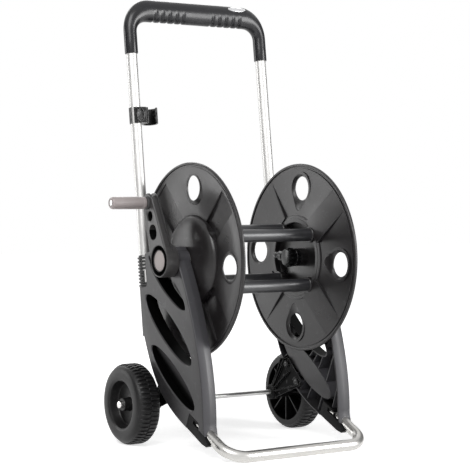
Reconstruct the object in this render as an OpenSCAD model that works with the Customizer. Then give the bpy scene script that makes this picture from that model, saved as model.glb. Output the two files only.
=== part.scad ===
// Garden hose trolley: two moulded side panels carry a hose drum with a crank,
// a telescopic tube handle, a bent-tube front foot and two wheels on a rod axle.
// X runs across the cart with the crank on -X, -Y is the front, Z is up.
// The origin is on the floor, straight below the drum's axis, midway between the panels.

/* [Drum] */
// Diameter of the two drum flanges
flange_d = 380; // [360:2:384]
// Height of the drum axis above the floor
drum_z = 368; // [362:1:380]
// Clear width between the rims of the flanges
drum_gap = 252; // [230:1:280]
// Thickness of the bead round a flange's rim
rim_t = 7; // [6:0.5:9]
// Wall thickness of the flanges
flange_wall = 3; // [2:0.25:4]
// How far the centre dome stands out past the rim
dome_rise = 8; // [6:0.5:12]
// Outer radius of the dome at its foot
dome_r = 87; // [84:1:92]
// Inner radius of the pocket inside the dome
pocket_r = 70.5; // [66:0.5:74]
// Diameter of the four round holes in a flange
hole_d = 48; // [36:1:54]
// Radius on which those holes lie
hole_pitch_r = 140; // [134:1:146]
// Width of the four sunk ramps between the holes
ramp_w = 54; // [40:1:60]
// How far a ramp lies below the rim where it meets the dome
ramp_fall = 12; // [6:0.5:14]
// Width of the funnel round a hole, on the hose side
funnel_w = 6; // [2:0.5:8]
// Outside diameter of the four core tubes
core_d = 25; // [20:0.5:28]
// Wall of a core tube
core_wall = 1.5; // [1:0.25:3]
// Radius on which the core tubes lie
core_pitch_r = 71; // [68:0.5:73]
// Angle that the drum is turned to at rest
drum_turn = 4; // [0:1:20]

/* [Crank] */
// Throw of the crank, from the drum axis to the grip
crank_throw = 119.5; // [100:0.5:126]
// Angle of the crank arm above the rearward direction
crank_angle = 68; // [40:1:90]
// Diameter of the crank hub
crank_hub_d = 64; // [54:1:68]
// Depth of the round recess in the hub's face
hub_recess = 3.5; // [2:0.25:4]
// Width of the hub's raised rim
hub_rim = 2.5; // [1.5:0.25:4]
// Diameter of the arm's rounded end
crank_tip_d = 38; // [30:1:44]
// Thickness of the crank arm
crank_arm_t = 18; // [12:0.5:20]
// Length of the crank grip
crank_grip_l = 75; // [60:1:100]
// Diameter of the crank grip
crank_grip_d = 24; // [20:0.5:30]
// Diameter of the steel pin that the grip spins on
crank_pin_d = 8; // [6:0.5:10]

/* [Side panels] */
// Depth of a side panel, across the cart
panel_depth = 30; // [29:0.5:36]
// Gap between the dome and the panel's inner edge
hub_gap = 1.5; // [1.2:0.1:4]
// Wall thickness of the panels
panel_wall = 3; // [2.25:0.25:4]
// Thickness of the stiffening ribs inside a panel
rib_t = 2; // [1.5:0.25:3]
// Spacing of those ribs
rib_pitch = 45; // [35:1:60]
// Depth of the scooped lowest opening at its rear edge
scoop_depth = 19; // [12:0.5:22]
// Rounding of the outer edge of a panel
panel_edge_r = 2; // [0.5:0.25:2.5]
// How much the panel's rim leans in from its middle ridge to each edge
panel_draft = 0.8; // [0.2:0.1:1]

/* [Handle] */
// Outside diameter of the handle tube
handle_tube_d = 22; // [20:0.25:23]
// Wall of the handle tube and the foot tube
tube_wall = 1.5; // [1:0.25:2.5]
// Angle that the handle leans back
handle_rake = 7.33; // [5:0.01:9]
// Length of the tube from the drum-height mark to the middle of the top bar
handle_rise = 490; // [420:1:540]
// Length of tube that reaches down into the panel socket
handle_reach = 90; // [85:1:110]
// How far the handle slides down
handle_travel = 75; // [50:1:80]
// Bend radius of the handle tube, at its middle line
handle_bend_r = 45; // [40:1:60]
// Height of the grip on the top bar
grip_h = 46; // [40:1:54]
// Depth of the grip on the top bar, front to back
grip_depth = 34; // [30:1:40]
// Diameter of the grip's sleeves on the legs
sleeve_d = 27; // [25:0.5:30]
// Length of a grip sleeve below the bend
sleeve_l = 46; // [30:1:80]
// Depth of the finger grooves under the grip
groove_depth = 2.2; // [0.5:0.1:3]
// Outside diameter of the ribbed collar on the panel
collar_d = 30; // [29:0.25:32]
// Length of the ribbed collar
collar_l = 62; // [50:1:70]
// Number of raised ribs on the collar
collar_ribs = 9; // [5:1:10]
// How far the panel stays in front of the collar's middle line
collar_notch = 24; // [20:0.5:28]
// Height of the hose nozzle clip above the drum-height mark
clip_z = 254; // [200:1:300]
// Length of the clip along the tube
clip_l = 36; // [24:1:50]
// Inside diameter of the pocket that holds a nozzle
nozzle_d = 26; // [20:0.5:30]
// Wall of the clip
clip_wall = 4; // [3:0.25:5]

/* [Foot] */
// Outside diameter of the front foot tube
foot_tube_d = 22; // [20:0.25:23]
// Distance of the foot bar in front of the drum axis
foot_y = 185; // [175:1:200]
// Slope of the foot tube's legs
foot_slope = 24; // [22:0.5:26]
// Bend radius of the foot tube, at its middle line
foot_bend_r = 40; // [35:1:55]
// Length of a foot tube's leg
foot_leg = 137; // [132:1:142]

/* [Wheels] */
// Wheel diameter
wheel_d = 160; // [150:1:164]
// Width of a wheel
wheel_w = 50; // [40:1:60]
// Distance of the axle behind the drum axis
axle_y = 115; // [112:1:125]
// Diameter of the axle rod
axle_d = 10; // [8:0.5:12]
// Radius of the sunk dish in the wheel's outer face
dish_r = 46; // [38:0.5:54]
// Depth of that dish
dish_depth = 22; // [14:0.5:28]
// Number of tread lugs round each half of the tyre
lugs = 26; // [16:1:36]
// Depth of the tread grooves
tread_depth = 3; // [1.5:0.25:4]
// Gap between the wheel and the panel
wheel_gap = 1; // [0.8:0.1:5]

/* [Water inlet] */
// Outside diameter of the spigot barrel that the drum turns on
barrel_d = 26; // [22:0.5:28]
// Diameter of the quick-connect nipple
nipple_d = 17; // [14:0.25:19]
// Length of the nipple
nipple_l = 26; // [20:0.5:32]
// Diameter of the hose tail inside the drum
tail_d = 13; // [10:0.5:16]

/* [Hidden] */
$fn = 72;

// clearances: a running fit, a fixed seat and the overcut of every cutting tool
running = 0.05;
seat = 0.05;
over = 1;

// stations across the cart, from the middle outwards
rim_in = drum_gap / 2;
rim_out = rim_in + rim_t;
dome_x = rim_out + dome_rise;
panel_in = dome_x + hub_gap;
panel_out = panel_in + panel_depth;
leg_x = (panel_in + panel_out) / 2;
wheel_in = panel_out + wheel_gap;
wheel_out = wheel_in + wheel_w;

// flange section: the web falls inwards to the collar, the ramps fall further
flange_r = flange_d / 2;
bead_w = 6;
web_r = flange_r - bead_w;
web_fall = 5;
collar_x = rim_in - 9;
web_x = rim_in - web_fall;
dome_wall_x = dome_x - flange_wall;
hub_boss_r = barrel_d / 2 + 5;
hub_boss_x = rim_in - 4;
ramp_end_r = flange_r - 14;
core_socket_r = core_d / 2 + 3;
core_socket_x = rim_in - 13;
core_seat_x = rim_in - 1;
core_floor = 4;
hole_lip = 2.5;
funnel_x = web_x + 1.5;
funnel_depth = 5;
lip_l = 8;
ramp_x = rim_in + 1 - ramp_fall;
ramp_root = dome_r - 6;
ramp_gap_r = dome_r - 2.5;
ramp_edge = 3;
// the dome's outer face and the pocket inside it, from the foot to the middle
dome_line = [[dome_r, web_x + flange_wall], [dome_r - 2, dome_x - 10.5],
  [dome_r - 16, dome_x - 3.5], [dome_r - 32, dome_x], [0, dome_x]];
pocket_line = [[hub_boss_r, dome_wall_x], [dome_r - 34, dome_wall_x],
  [pocket_r, dome_wall_x - 7], [pocket_r, collar_x]];

// crank stations on the -X side, measured outwards from the middle
crank_gap = 1;
crank_in = panel_out + crank_gap;
crank_hub_l = 28;
crank_out = crank_in + crank_hub_l;
drive_w = 18;
drive_l = 14;
cap_d = crank_hub_d - 24;
cap_sink = hub_recess + 1.5;
knuckle_d = 26;
knuckle_l = 5;
// holes in the arm: one round near the grip, and an oval one between two centres
arm_hole_r = 9.5;
arm_hole_y = crank_throw - 27.5;
arm_oval_r = 13.2;
arm_oval_y = [crank_throw - 63.3, crank_throw - 58.6];
bolt_d = 6;
bolt_l = 28;
bolt_head_r = 7.5;
bolt_head_l = 5;
pin_floor = 4;
pin_head = 2;
grip_play = 0.4;
grip_in = crank_out + knuckle_l + grip_play;
grip_out = grip_in + crank_grip_l;

// side panel outline in the Y-Z plane: control points of the two long curves
front_top = [-4, drum_z + 27];
front_c1 = [-61, drum_z - 57];
front_c2 = [-117, drum_z - 192];
front_foot = [-115, 60];
toe = [-124, 24];
rear_top_z = drum_z + 5;
rear_low = [111, 215];
rear_c1 = [67, 116];
rear_c2 = [37, 76];
top_mid = [62, drum_z + 25];
curve_steps = 16;

// handle leg frame: a point on the leg's axis at the height of the drum-height mark
leg_ref_y = 132.8;
leg_ref_z = drum_z + 16.3;
rake_rise = sin(handle_rake);
rake_up = cos(handle_rake);
socket_r = handle_tube_d / 2 + 3;
collar_top = (rear_top_z - leg_ref_z) / rake_up;
collar_low = collar_top - collar_l;
notch_rise = 3;
socket_floor = 4;
socket_taper = 12;
socket_spare = 3;
socket_low = -handle_reach - handle_travel - socket_floor - socket_spare;
collar_rib_h = 1.2;
collar_rib_share = 0.55;
// the slot window in a collar: width, height above its foot, length, turn to the front
collar_slot = [4, 8, 26, 57];
plug_head = 2;
plug_l = 12;
sleeve_low = handle_rise - handle_bend_r - sleeve_l;

// foot tube frame and foot caps, in lengths along (s) and across (t) the tube
foot_r = foot_tube_d / 2;
cap_sole = 5.5;
cap_bottom = foot_r + cap_sole;
cap_rear_s = foot_leg + 2;
cap_step_s = foot_leg - 34;
cap_exit_s = foot_leg - 60;
cap_toe_s = foot_leg - 80;
cap_top = foot_r + 4;
cap_strip = 3;
cap_step = 6;
cap_toe_h = 4;
cap_toe_l = 20;
cap_toe_run = 5;
notch_drop = 30;
window_s = foot_leg - 27;
window_l = 20;
window_h = 8;

// wheel section
wheel_r = wheel_d / 2;
axle_z = wheel_r;
carcass_r = wheel_r - tread_depth;
tyre_wall = 5;
tread_band = 1.5;
lug_shape = [0, 0.12, 0.58, 0.70];
lug_turn = 2;
shoulder = 12;
face_wall = 3.5;
wheel_hub_r = 13;
hub_end_x = wheel_out - 4;
bracket_boss_r = 15.5;
bracket_in = panel_in - 7;
bracket_out = panel_in + 13;
bracket_plate = 4;
wheel_sleeve_x = bracket_out + 0.5;
wheel_ribs = 8;
axle_cap_r = axle_d / 2 + 2.5;
axle_cap_x = hub_end_x + 0.4;
axle_cap_l = 7.5;
axle_end = axle_cap_x + 5;

// the bracket's screws, rib ends and plate, all set off from the axle in the Y-Z plane
bracket_screw_off = [[-91, 30], [-55, 64]];
bracket_rib_off = [[-37, 74], [-63, 48], [-85, 22]];
bracket_plate_off = [[4, 14], [-39, 76], [-59, 76], [-101, 38], [-101, 23], [-4, -14]];
bracket_screw_at = [for (p = bracket_screw_off) [axle_y + p[0], axle_z + p[1]]];
bracket_screw_d = 5;
bracket_screw_head = 3;
bracket_boss_d = 11;
bracket_screw_l = 16;
bracket_rib_t = 3;
bracket_rib_root = 5;

// water inlet stations
spigot_in = rim_in - 10;
elbow_in = rim_in - 31;
elbow_wall = 3;
spigot_flange_r = 20;
spigot_flange_t = 4;
hex_l = 9;
bore_water = 11;
elbow_r = barrel_d / 2 + 5;
seal_r = 0.9;
seal_x = spigot_in + 3;
tail_wall = 2;
tail_root = elbow_r + 4;
tail_nut_r = 11;
tail_l = 34;
tail_x = elbow_in + 13;

// bushes in the panels
bush_r = barrel_d / 2 + 3;
bush_flange_r = 20;
bush_flange_t = hub_gap - 0.2;
boss_r = 21;

// leaf-shaped openings: how far each lies below the drum's axis, then its centre,
// half length, half width and slope
leaf_drop = [43.7, 134, 225.5];
leaf_rim = 3;
leaf_1 = [21, drum_z - leaf_drop[0], 83, 18, 35];
leaf_2 = [16, drum_z - leaf_drop[1], 104, 26, 35];
leaf_3 = [-1, drum_z - leaf_drop[2], 95, 23, 33.4];
edge_steps = 3;
leaf_wall = 2.5;
leaf_points = 40;
scoop_shallow = 2;
rib_inset = 4;
rib_reach = 150;
rib_count = round(norm(rear_low - toe) * 1.05 / rib_pitch);

// grip sweep
grip_sides = 20;
bend_steps = 9;
bar_step = 3.6;
groove_at = [30, 55, 80, 104];
groove_width = 4.5;
badge_x = 97;
badge_l = 43;
badge_w = 13;
badge_t = 1.8;
badge_turn = 50;

// cubic curve through p and s with control points q and r, n steps
function curve(p, q, r, s, n) = [for (i = [0:n]) let (t = i / n, u = 1 - t)
  u * u * u * p + 3 * u * u * t * q + 3 * u * t * t * r + t * t * t * s];
function unit(v) = v / norm(v);
function left_normal(v) = [-v[1], v[0]];
// a closed outline moved inwards by d; the outline runs anticlockwise
function inset(pts, d) = [for (i = [0:len(pts) - 1]) let (
  a = pts[(i + len(pts) - 1) % len(pts)], b = pts[i], c = pts[(i + 1) % len(pts)],
  m = left_normal(unit(b - a)), n = left_normal(unit(c - b)), w = unit(m + n))
  b + w * d / (w * m)];
function leaf_outline(leaf, grow) = [for (i = [0:leaf_points - 1]) let (
  a = 360 * i / leaf_points, u = (leaf[2] + grow) * cos(a), v = (leaf[3] + grow) * sin(a))
  [leaf[0] + u * cos(leaf[4]) - v * sin(leaf[4]), leaf[1] + u * sin(leaf[4]) + v * cos(leaf[4])]];
function leg_y(z) = leg_ref_y + (z - leg_ref_z) * rake_rise / rake_up;
function reversed(pts) = [for (i = [len(pts) - 1:-1:0]) pts[i]];
function without_last(pts) = [for (i = [0:len(pts) - 2]) pts[i]];
// point of the foot tube frame seen from the side
function on_foot(s, t) = [-foot_y + s * cos(foot_slope) - t * sin(foot_slope),
  foot_r + s * sin(foot_slope) + t * cos(foot_slope)];

// point of the handle leg frame seen from the side
function on_leg(v, w) = [leg_ref_y + v * rake_up + w * rake_rise, leg_ref_z - v * rake_rise + w * rake_up];

// the outline runs anticlockwise: down the front, round the toe, up the rear to the
// shoulder that carries the collar, up behind the collar's front, over the top
panel_outline = concat(
  without_last(curve(front_top, front_c1, front_c2, front_foot, curve_steps)),
  [front_foot],
  without_last(reversed(curve(rear_low, rear_c1, rear_c2, toe, curve_steps))),
  [[leg_y(rear_low[1]), rear_low[1]]],
  [for (p = [[0, collar_low], [-collar_notch, collar_low], [-collar_notch, collar_top + notch_rise]])
    on_leg(p[0], p[1])],
  [top_mid]);
// foot cap seen from the side; drop lengthens it downwards for the notch in the panel
function foot_cap_outline(drop) = [on_foot(cap_rear_s, -cap_bottom - drop),
  on_foot(cap_rear_s, cap_top), on_foot(cap_step_s, cap_top),
  on_foot(cap_step_s - cap_step, cap_strip), on_foot(cap_exit_s, cap_strip),
  on_foot(cap_toe_s + over, -cap_strip), on_foot(cap_toe_s, cap_toe_h - foot_r),
  on_foot(cap_toe_s + cap_toe_run, cap_strip - cap_bottom - drop),
  on_foot(cap_toe_s + cap_toe_l, -cap_bottom - drop)];

module side(s) {
  if (s > 0) children();
  else mirror([1, 0, 0]) children();
}
// extrudes a Y-Z outline along X from station x
module along_x(x, len) {
  translate([x, 0, 0]) rotate([90, 0, 90]) linear_extrude(len) children();
}
module rod_x(x, len, r) {
  translate([x, 0, 0]) rotate([0, 90, 0]) cylinder(h = len, r = r);
}
// turns a profile of [radius, station] points about the X axis
module turned_x() {
  rotate([0, 90, 0]) rotate_extrude() children();
}
module at_axis() {
  translate([0, 0, drum_z]) children();
}
module drum_frame() {
  at_axis() rotate([drum_turn, 0, 0]) children();
}
module leg_frame() {
  translate([0, leg_ref_y, leg_ref_z]) rotate([-handle_rake, 0, 0]) children();
}
module foot_frame() {
  translate([0, -foot_y, foot_r]) rotate([foot_slope, 0, 0]) children();
}

// a plate across the cart; its outline is drawn in by d at each station [x, d]
module drawn_plate(outline, stations) {
  n = len(outline);
  m = len(stations);
  points = [for (s = stations, p = inset(outline, s[1])) [s[0], p[0], p[1]]];
  faces = concat([[for (j = [0:n - 1]) j]], [[for (j = [n - 1:-1:0]) (m - 1) * n + j]],
    [for (i = [0:m - 2], j = [0:n - 1]) let (k = (j + 1) % n)
      [i * n + j, (i + 1) * n + j, (i + 1) * n + k, i * n + k]]);
  polyhedron(points, faces);
}

// ---- side panels ----
// the rim stands proud along a middle ridge, and the outer edge is rounded; the ends run
// past both faces and are cut flat
panel_stations = concat([[panel_in - over, panel_draft], [leg_x, 0]],
  [for (i = [0:edge_steps]) let (a = 90 * i / edge_steps)
    [panel_out - panel_edge_r * (1 - sin(a)), panel_draft + panel_edge_r * (1 - cos(a))]],
  [[panel_out + over, panel_draft + panel_edge_r]]);
module panel_plate() {
  intersection() {
    drawn_plate(panel_outline, panel_stations);
    translate([panel_in, -drum_z, 0]) cube([panel_depth, 2 * drum_z, 2 * drum_z]);
  }
}
module leaf_hole(leaf, grow, x, len) {
  along_x(x, len) polygon(leaf_outline(leaf, grow));
}
// the scoop's floor rises from its rear lower edge to its front upper edge
module scoop(grow) {
  tilt = atan((scoop_depth - scoop_shallow) / (2 * leaf_3[3]));
  reach = 2 * leaf_3[2] + 20;
  intersection() {
    leaf_hole(leaf_3, grow, panel_in + over, panel_depth);
    translate([panel_out - (scoop_depth + scoop_shallow) / 2 - grow, leaf_3[0], leaf_3[1]])
      rotate([leaf_3[4], 0, 0]) rotate([0, tilt, 0])
        translate([0, -reach / 2, -reach / 2]) cube([panel_depth, reach, reach]);
  }
}
// thin ribs that stand square to the rear wall, one every rib_pitch along it
module panel_ribs() {
  rear = curve(toe, rear_c2, rear_c1, rear_low, rib_count);
  intersection() {
    along_x(panel_in + rib_inset, panel_depth - rib_inset - 1)
      polygon(inset(panel_outline, panel_wall / 2));
    union() {
      for (i = [1:rib_count]) let (
        n = left_normal(unit(rear[min(i + 1, rib_count)] - rear[i - 1])),
        e = [n[1], -n[0]] * rib_t / 2)
        along_x(panel_in, panel_depth) polygon([rear[i] - e - n * 4, rear[i] + e - n * 4,
          rear[i] + e + n * rib_reach, rear[i] - e + n * rib_reach]);
      for (z = [rear_low[1] + rib_pitch:rib_pitch:rear_top_z - panel_wall])
        translate([panel_in, -rib_reach, z]) cube([panel_depth, 2 * rib_reach, rib_t]);
    }
  }
}
module panel_bosses() {
  at_axis() rod_x(panel_in, panel_depth, boss_r);
  for (p = bracket_screw_at)
    translate([0, p[0], p[1]]) rod_x(panel_in, panel_depth - 1, bracket_boss_d / 2);
  leg_frame() translate([leg_x, 0, socket_low]) {
    cylinder(h = collar_low - socket_low, r = socket_r);
    translate([0, 0, -socket_taper]) cylinder(h = socket_taper, r1 = socket_r / 2, r2 = socket_r);
  }
}
module panel() {
  difference() {
    union() {
      difference() {
        panel_plate();
        along_x(panel_in - over, panel_depth - panel_wall + over)
          polygon(inset(panel_outline, panel_wall + panel_draft / 2));
      }
      difference() {
        union() {
          panel_ribs();
          leaf_hole(leaf_1, leaf_wall, panel_in + leaf_rim, panel_depth - leaf_rim - over);
          leaf_hole(leaf_2, leaf_wall, panel_in + leaf_rim, panel_depth - leaf_rim - over);
          scoop(leaf_wall);
        }
        along_x(panel_out, over) polygon(panel_outline);
      }
      panel_bosses();
    }
    leaf_hole(leaf_1, 0, panel_in - over, panel_depth + 2 * over);
    leaf_hole(leaf_2, 0, panel_in - over, panel_depth + 2 * over);
    scoop(0);
    at_axis() rod_x(panel_in - over, panel_depth + 2 * over, bush_r);
    for (p = bracket_screw_at)
      translate([0, p[0], p[1]]) rod_x(panel_in - over, bracket_screw_l, bracket_screw_d / 2);
    leg_frame() translate([leg_x, 0, socket_low + socket_floor])
      cylinder(h = collar_top - socket_low, r = handle_tube_d / 2 + 2 * running);
    along_x(panel_in - over, panel_depth + 2 * over) polygon(foot_cap_outline(notch_drop));
    foot_frame() translate([leg_x, cap_exit_s - notch_drop, 0]) rotate([-90, 0, 0])
      cylinder(h = foot_leg - cap_exit_s + notch_drop, r = foot_r + seat);
  }
}
module left_panel() {
  color("#2b2b2e") side(-1) panel();
}
module right_panel() {
  color("#2b2b2e") side(1) panel();
}

// ---- ribbed collars that guide the handle tube ----
module tube_collar() {
  pitch = collar_l / collar_ribs;
  leg_frame() translate([leg_x, 0, collar_low]) difference() {
    union() {
      cylinder(h = collar_l, r = collar_d / 2 - collar_rib_h);
      for (i = [0:collar_ribs - 1])
        translate([0, 0, i * pitch]) cylinder(h = pitch * collar_rib_share, r = collar_d / 2);
    }
    translate([0, 0, -over]) cylinder(h = collar_l + 2 * over, r = handle_tube_d / 2 + 2 * running);
    rotate(-collar_slot[3]) translate([0, -collar_slot[0] / 2, collar_slot[1]])
      cube([collar_d, collar_slot[0], collar_slot[2]]);
  }
}
module left_tube_collar() {
  color("#1d1d1f") side(-1) tube_collar();
}
module right_tube_collar() {
  color("#1d1d1f") side(1) tube_collar();
}

// ---- front foot ----
// one U of round tube in the X-Y plane: bar on the X axis, legs towards +Y
module u_section(ro, ri) {
  if (ri > 0) difference() {
    circle(r = ro);
    circle(r = ri);
  }
  else circle(r = ro);
}
module u_bend(x, r, ro, ri) {
  translate([x - r, r, 0]) rotate([0, 0, -90]) rotate_extrude(angle = 90)
    translate([r, 0]) u_section(ro, ri);
}
module u_leg(x, r, leg, ro, ri) {
  translate([x, r, 0]) rotate([-90, 0, 0]) linear_extrude(leg - r) u_section(ro, ri);
}
module u_tube(x, r, leg, ro, ri) {
  rotate([0, 90, 0]) translate([0, 0, r - x]) linear_extrude(2 * (x - r)) u_section(ro, ri);
  for (s = [-1, 1]) side(s) {
    u_bend(x, r, ro, ri);
    u_leg(x, r, leg, ro, ri);
  }
}
module foot_tube() {
  color("#d9d9d6") foot_frame() u_tube(leg_x, foot_bend_r, foot_leg, foot_r, foot_r - tube_wall);
}
module foot_cap() {
  difference() {
    along_x(panel_in, panel_depth) polygon(foot_cap_outline(0));
    foot_frame() {
      translate([leg_x, 0, 0]) rotate([-90, 0, 0]) cylinder(h = foot_leg, r = foot_r + seat);
      translate([panel_in - over, window_s - window_l / 2, foot_r - window_h])
        cube([panel_depth + 2 * over, window_l, window_h]);
    }
  }
}
module left_foot_cap() {
  color("#161617") side(-1) foot_cap();
}
module right_foot_cap() {
  color("#161617") side(1) foot_cap();
}

// ---- axle and its brackets ----
module axle() {
  color("#c9c9c6") translate([0, axle_y, axle_z]) rod_x(-axle_end, 2 * axle_end, axle_d / 2);
}
module axle_caps() {
  color("#e4e2df") for (s = [-1, 1]) side(s) translate([0, axle_y, axle_z]) difference() {
    turned_x() polygon([[0, axle_cap_x], [axle_cap_r, axle_cap_x],
      [axle_cap_r, axle_cap_x + axle_cap_l - 2], [axle_cap_r - 2, axle_cap_x + axle_cap_l],
      [0, axle_cap_x + axle_cap_l]]);
    rod_x(axle_cap_x - over, axle_end - axle_cap_x + over + seat, axle_d / 2 + seat);
  }
}
module bracket_rib(off) {
  d = unit(off);
  n = left_normal(d) * bracket_rib_t / 2;
  root = d * bracket_rib_root;
  along_x(bracket_in + bracket_plate - over, bracket_out - bracket_in - bracket_rib_root)
    translate([axle_y, axle_z]) polygon([root + n, root - n, off - n, off + n]);
}
module axle_bracket() {
  difference() {
    union() {
      along_x(panel_in - bracket_plate, bracket_plate)
        translate([axle_y, axle_z]) polygon(bracket_plate_off);
      difference() {
        for (p = bracket_rib_off) bracket_rib(p);
        along_x(panel_in, panel_depth) polygon(panel_outline);
      }
      translate([0, axle_y, axle_z]) rod_x(bracket_in, bracket_out - bracket_in, bracket_boss_r);
    }
    translate([0, axle_y, axle_z])
      rod_x(bracket_in - over, bracket_out - bracket_in + 2 * over, axle_d / 2 + seat);
    for (p = bracket_screw_at)
      translate([0, p[0], p[1]])
        rod_x(panel_in - bracket_plate - over, bracket_plate + 2 * over, bracket_screw_d / 2);
  }
}
module left_axle_bracket() {
  color("#1a1a1b") side(-1) axle_bracket();
}
module right_axle_bracket() {
  color("#1a1a1b") side(1) axle_bracket();
}
module bracket_screws() {
  color("#8c8c8a") for (s = [-1, 1], p = bracket_screw_at) side(s) translate([0, p[0], p[1]]) {
    rod_x(panel_in - bracket_plate, bracket_plate + bracket_screw_l - 2 * over,
      bracket_screw_d / 2 - seat);
    rod_x(panel_in - bracket_plate - bracket_screw_head, bracket_screw_head, bracket_screw_d);
  }
}

// ---- bushes that the drum's shafts run in ----
module bush() {
  at_axis() difference() {
    union() {
      rod_x(panel_in, panel_depth, bush_r - seat);
      rod_x(panel_in - bush_flange_t, bush_flange_t, bush_flange_r);
    }
    rod_x(panel_in - bush_flange_t - over, panel_depth + bush_flange_t + 2 * over,
      barrel_d / 2 + running);
  }
}
module left_bush() {
  color("#e9e6dc") side(-1) bush();
}
module right_bush() {
  color("#e9e6dc") side(1) bush();
}

// ---- water inlet on the +X side ----
module inlet_spigot() {
  hex_x = panel_out + spigot_flange_t;
  tip_x = hex_x + hex_l;
  r = nipple_d / 2;
  color("#242426") at_axis() difference() {
    union() {
      rod_x(spigot_in, panel_out - spigot_in, barrel_d / 2);
      rod_x(panel_out, spigot_flange_t, spigot_flange_r);
      translate([hex_x, 0, 0]) rotate([0, 90, 0]) cylinder(h = hex_l, r = 15, $fn = 6);
      turned_x() polygon([[0, tip_x], [r + 1.5, tip_x], [r + 1.5, tip_x + 2], [r, tip_x + 3],
        [r, tip_x + nipple_l - 11], [r - 2, tip_x + nipple_l - 9], [r - 2, tip_x + nipple_l - 5],
        [r, tip_x + nipple_l - 4], [r - 1, tip_x + nipple_l], [0, tip_x + nipple_l]]);
    }
    rod_x(spigot_in - over, tip_x + nipple_l - spigot_in + 2 * over, bore_water / 2);
    rotate([0, 90, 0]) translate([0, 0, seal_x]) rotate_extrude()
      translate([barrel_d / 2 - 2 * seal_r, -seal_r - seat])
        square([2 * seal_r + over, 2 * (seal_r + seat)]);
  }
}
module spigot_seal() {
  color("black") at_axis() rotate([0, 90, 0]) translate([0, 0, seal_x]) rotate_extrude()
    translate([barrel_d / 2 - seal_r + running / 2, 0]) circle(r = seal_r);
}

// ---- drum ----
module flange(drive) {
  hole_r = hole_d / 2;
  difference() {
    union() {
      difference() {
        turned_x() polygon(concat([[0, hub_boss_x], [hub_boss_r, hub_boss_x]], pocket_line,
          [[dome_r - 1, collar_x], [dome_r - 1, web_x], [web_r, rim_in + 1], [web_r + 2, rim_in],
            [flange_r - 1, rim_in], [flange_r, rim_in + 1], [flange_r, rim_out - 1.5],
            [flange_r - 1.5, rim_out], [web_r, rim_out], [web_r - 1, rim_in + 1 + flange_wall]],
          dome_line));
        for (a = [45:90:315]) rotate([a, 0, 0])
          translate([collar_x - over, ramp_gap_r, -ramp_w / 2])
            cube([rim_out - collar_x + 2 * over, ramp_end_r - ramp_gap_r, ramp_w]);
      }
      for (a = [45:90:315]) rotate([a, 0, 0]) {
        ramp(-ramp_w / 2, ramp_w, ramp_x + flange_wall);
        for (s = [-1, 1]) mirror([0, 0, max(s, 0)])
          ramp(-ramp_w / 2 - over / 2, ramp_edge, web_x + flange_wall);
        translate([0, core_pitch_r, 0])
          rod_x(core_socket_x, core_seat_x + core_floor - core_socket_x, core_socket_r);
      }
      for (a = [0:90:270]) rotate([a, 0, 0]) translate([0, hole_pitch_r, 0])
        turned_x() polygon([[0, funnel_x], [hole_r + funnel_w + hole_lip, funnel_x],
          [hole_r + funnel_w + hole_lip, funnel_x + 1], [hole_r + hole_lip, funnel_x + funnel_depth + 1],
          [hole_r + hole_lip, funnel_x + lip_l], [0, funnel_x + lip_l]]);
    }
    for (a = [0:90:270]) rotate([a, 0, 0]) translate([0, hole_pitch_r, 0])
      turned_x() polygon([[0, funnel_x - over], [hole_r + funnel_w, funnel_x - over],
        [hole_r + funnel_w, funnel_x], [hole_r, funnel_x + funnel_depth],
        [hole_r, funnel_x + lip_l + over], [0, funnel_x + lip_l + over]]);
    for (a = [45:90:315]) rotate([a, 0, 0]) translate([0, core_pitch_r, 0])
      rod_x(core_socket_x - over, core_seat_x - core_socket_x + over, core_d / 2 + seat);
    if (drive) {
      translate([hub_boss_x + 2, -drive_w / 2 - seat, -drive_w / 2 - seat])
        cube([dome_x, drive_w + 2 * seat, drive_w + 2 * seat]);
      rod_x(hub_boss_x - over, bolt_d, bolt_d / 2 + 3 * grip_play);
    } else {
      rod_x(hub_boss_x - over, dome_x, barrel_d / 2 + running);
    }
  }
}
// one sloping strip of a ramp: it starts at the dome, top_x high, and ends flush with the web
function web_at(r) = web_x + (rim_in + 1 - web_x) * (r - dome_r) / (web_r - dome_r);
module ramp(z, w, top_x) {
  end_r = ramp_end_r + 2 * over;
  translate([0, 0, z]) linear_extrude(w) polygon([[ramp_x, ramp_root], [top_x, ramp_root],
    [web_at(end_r) + flange_wall, end_r], [web_at(end_r), end_r]]);
}
module left_flange() {
  color("#303033") drum_frame() side(-1) flange(true);
}
module right_flange() {
  color("#303033") drum_frame() side(1) flange(false);
}
module core_tube(i) {
  color("#222224") drum_frame() rotate([45 + 90 * i, 0, 0]) translate([0, core_pitch_r, 0])
    difference() {
      rod_x(-core_seat_x, 2 * core_seat_x, core_d / 2);
      rod_x(-core_seat_x - over, 2 * core_seat_x + 2 * over, core_d / 2 - core_wall);
    }
}
module core_tube_1() {
  core_tube(0);
}
module core_tube_2() {
  core_tube(1);
}
module core_tube_3() {
  core_tube(2);
}
module core_tube_4() {
  core_tube(3);
}
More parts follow.
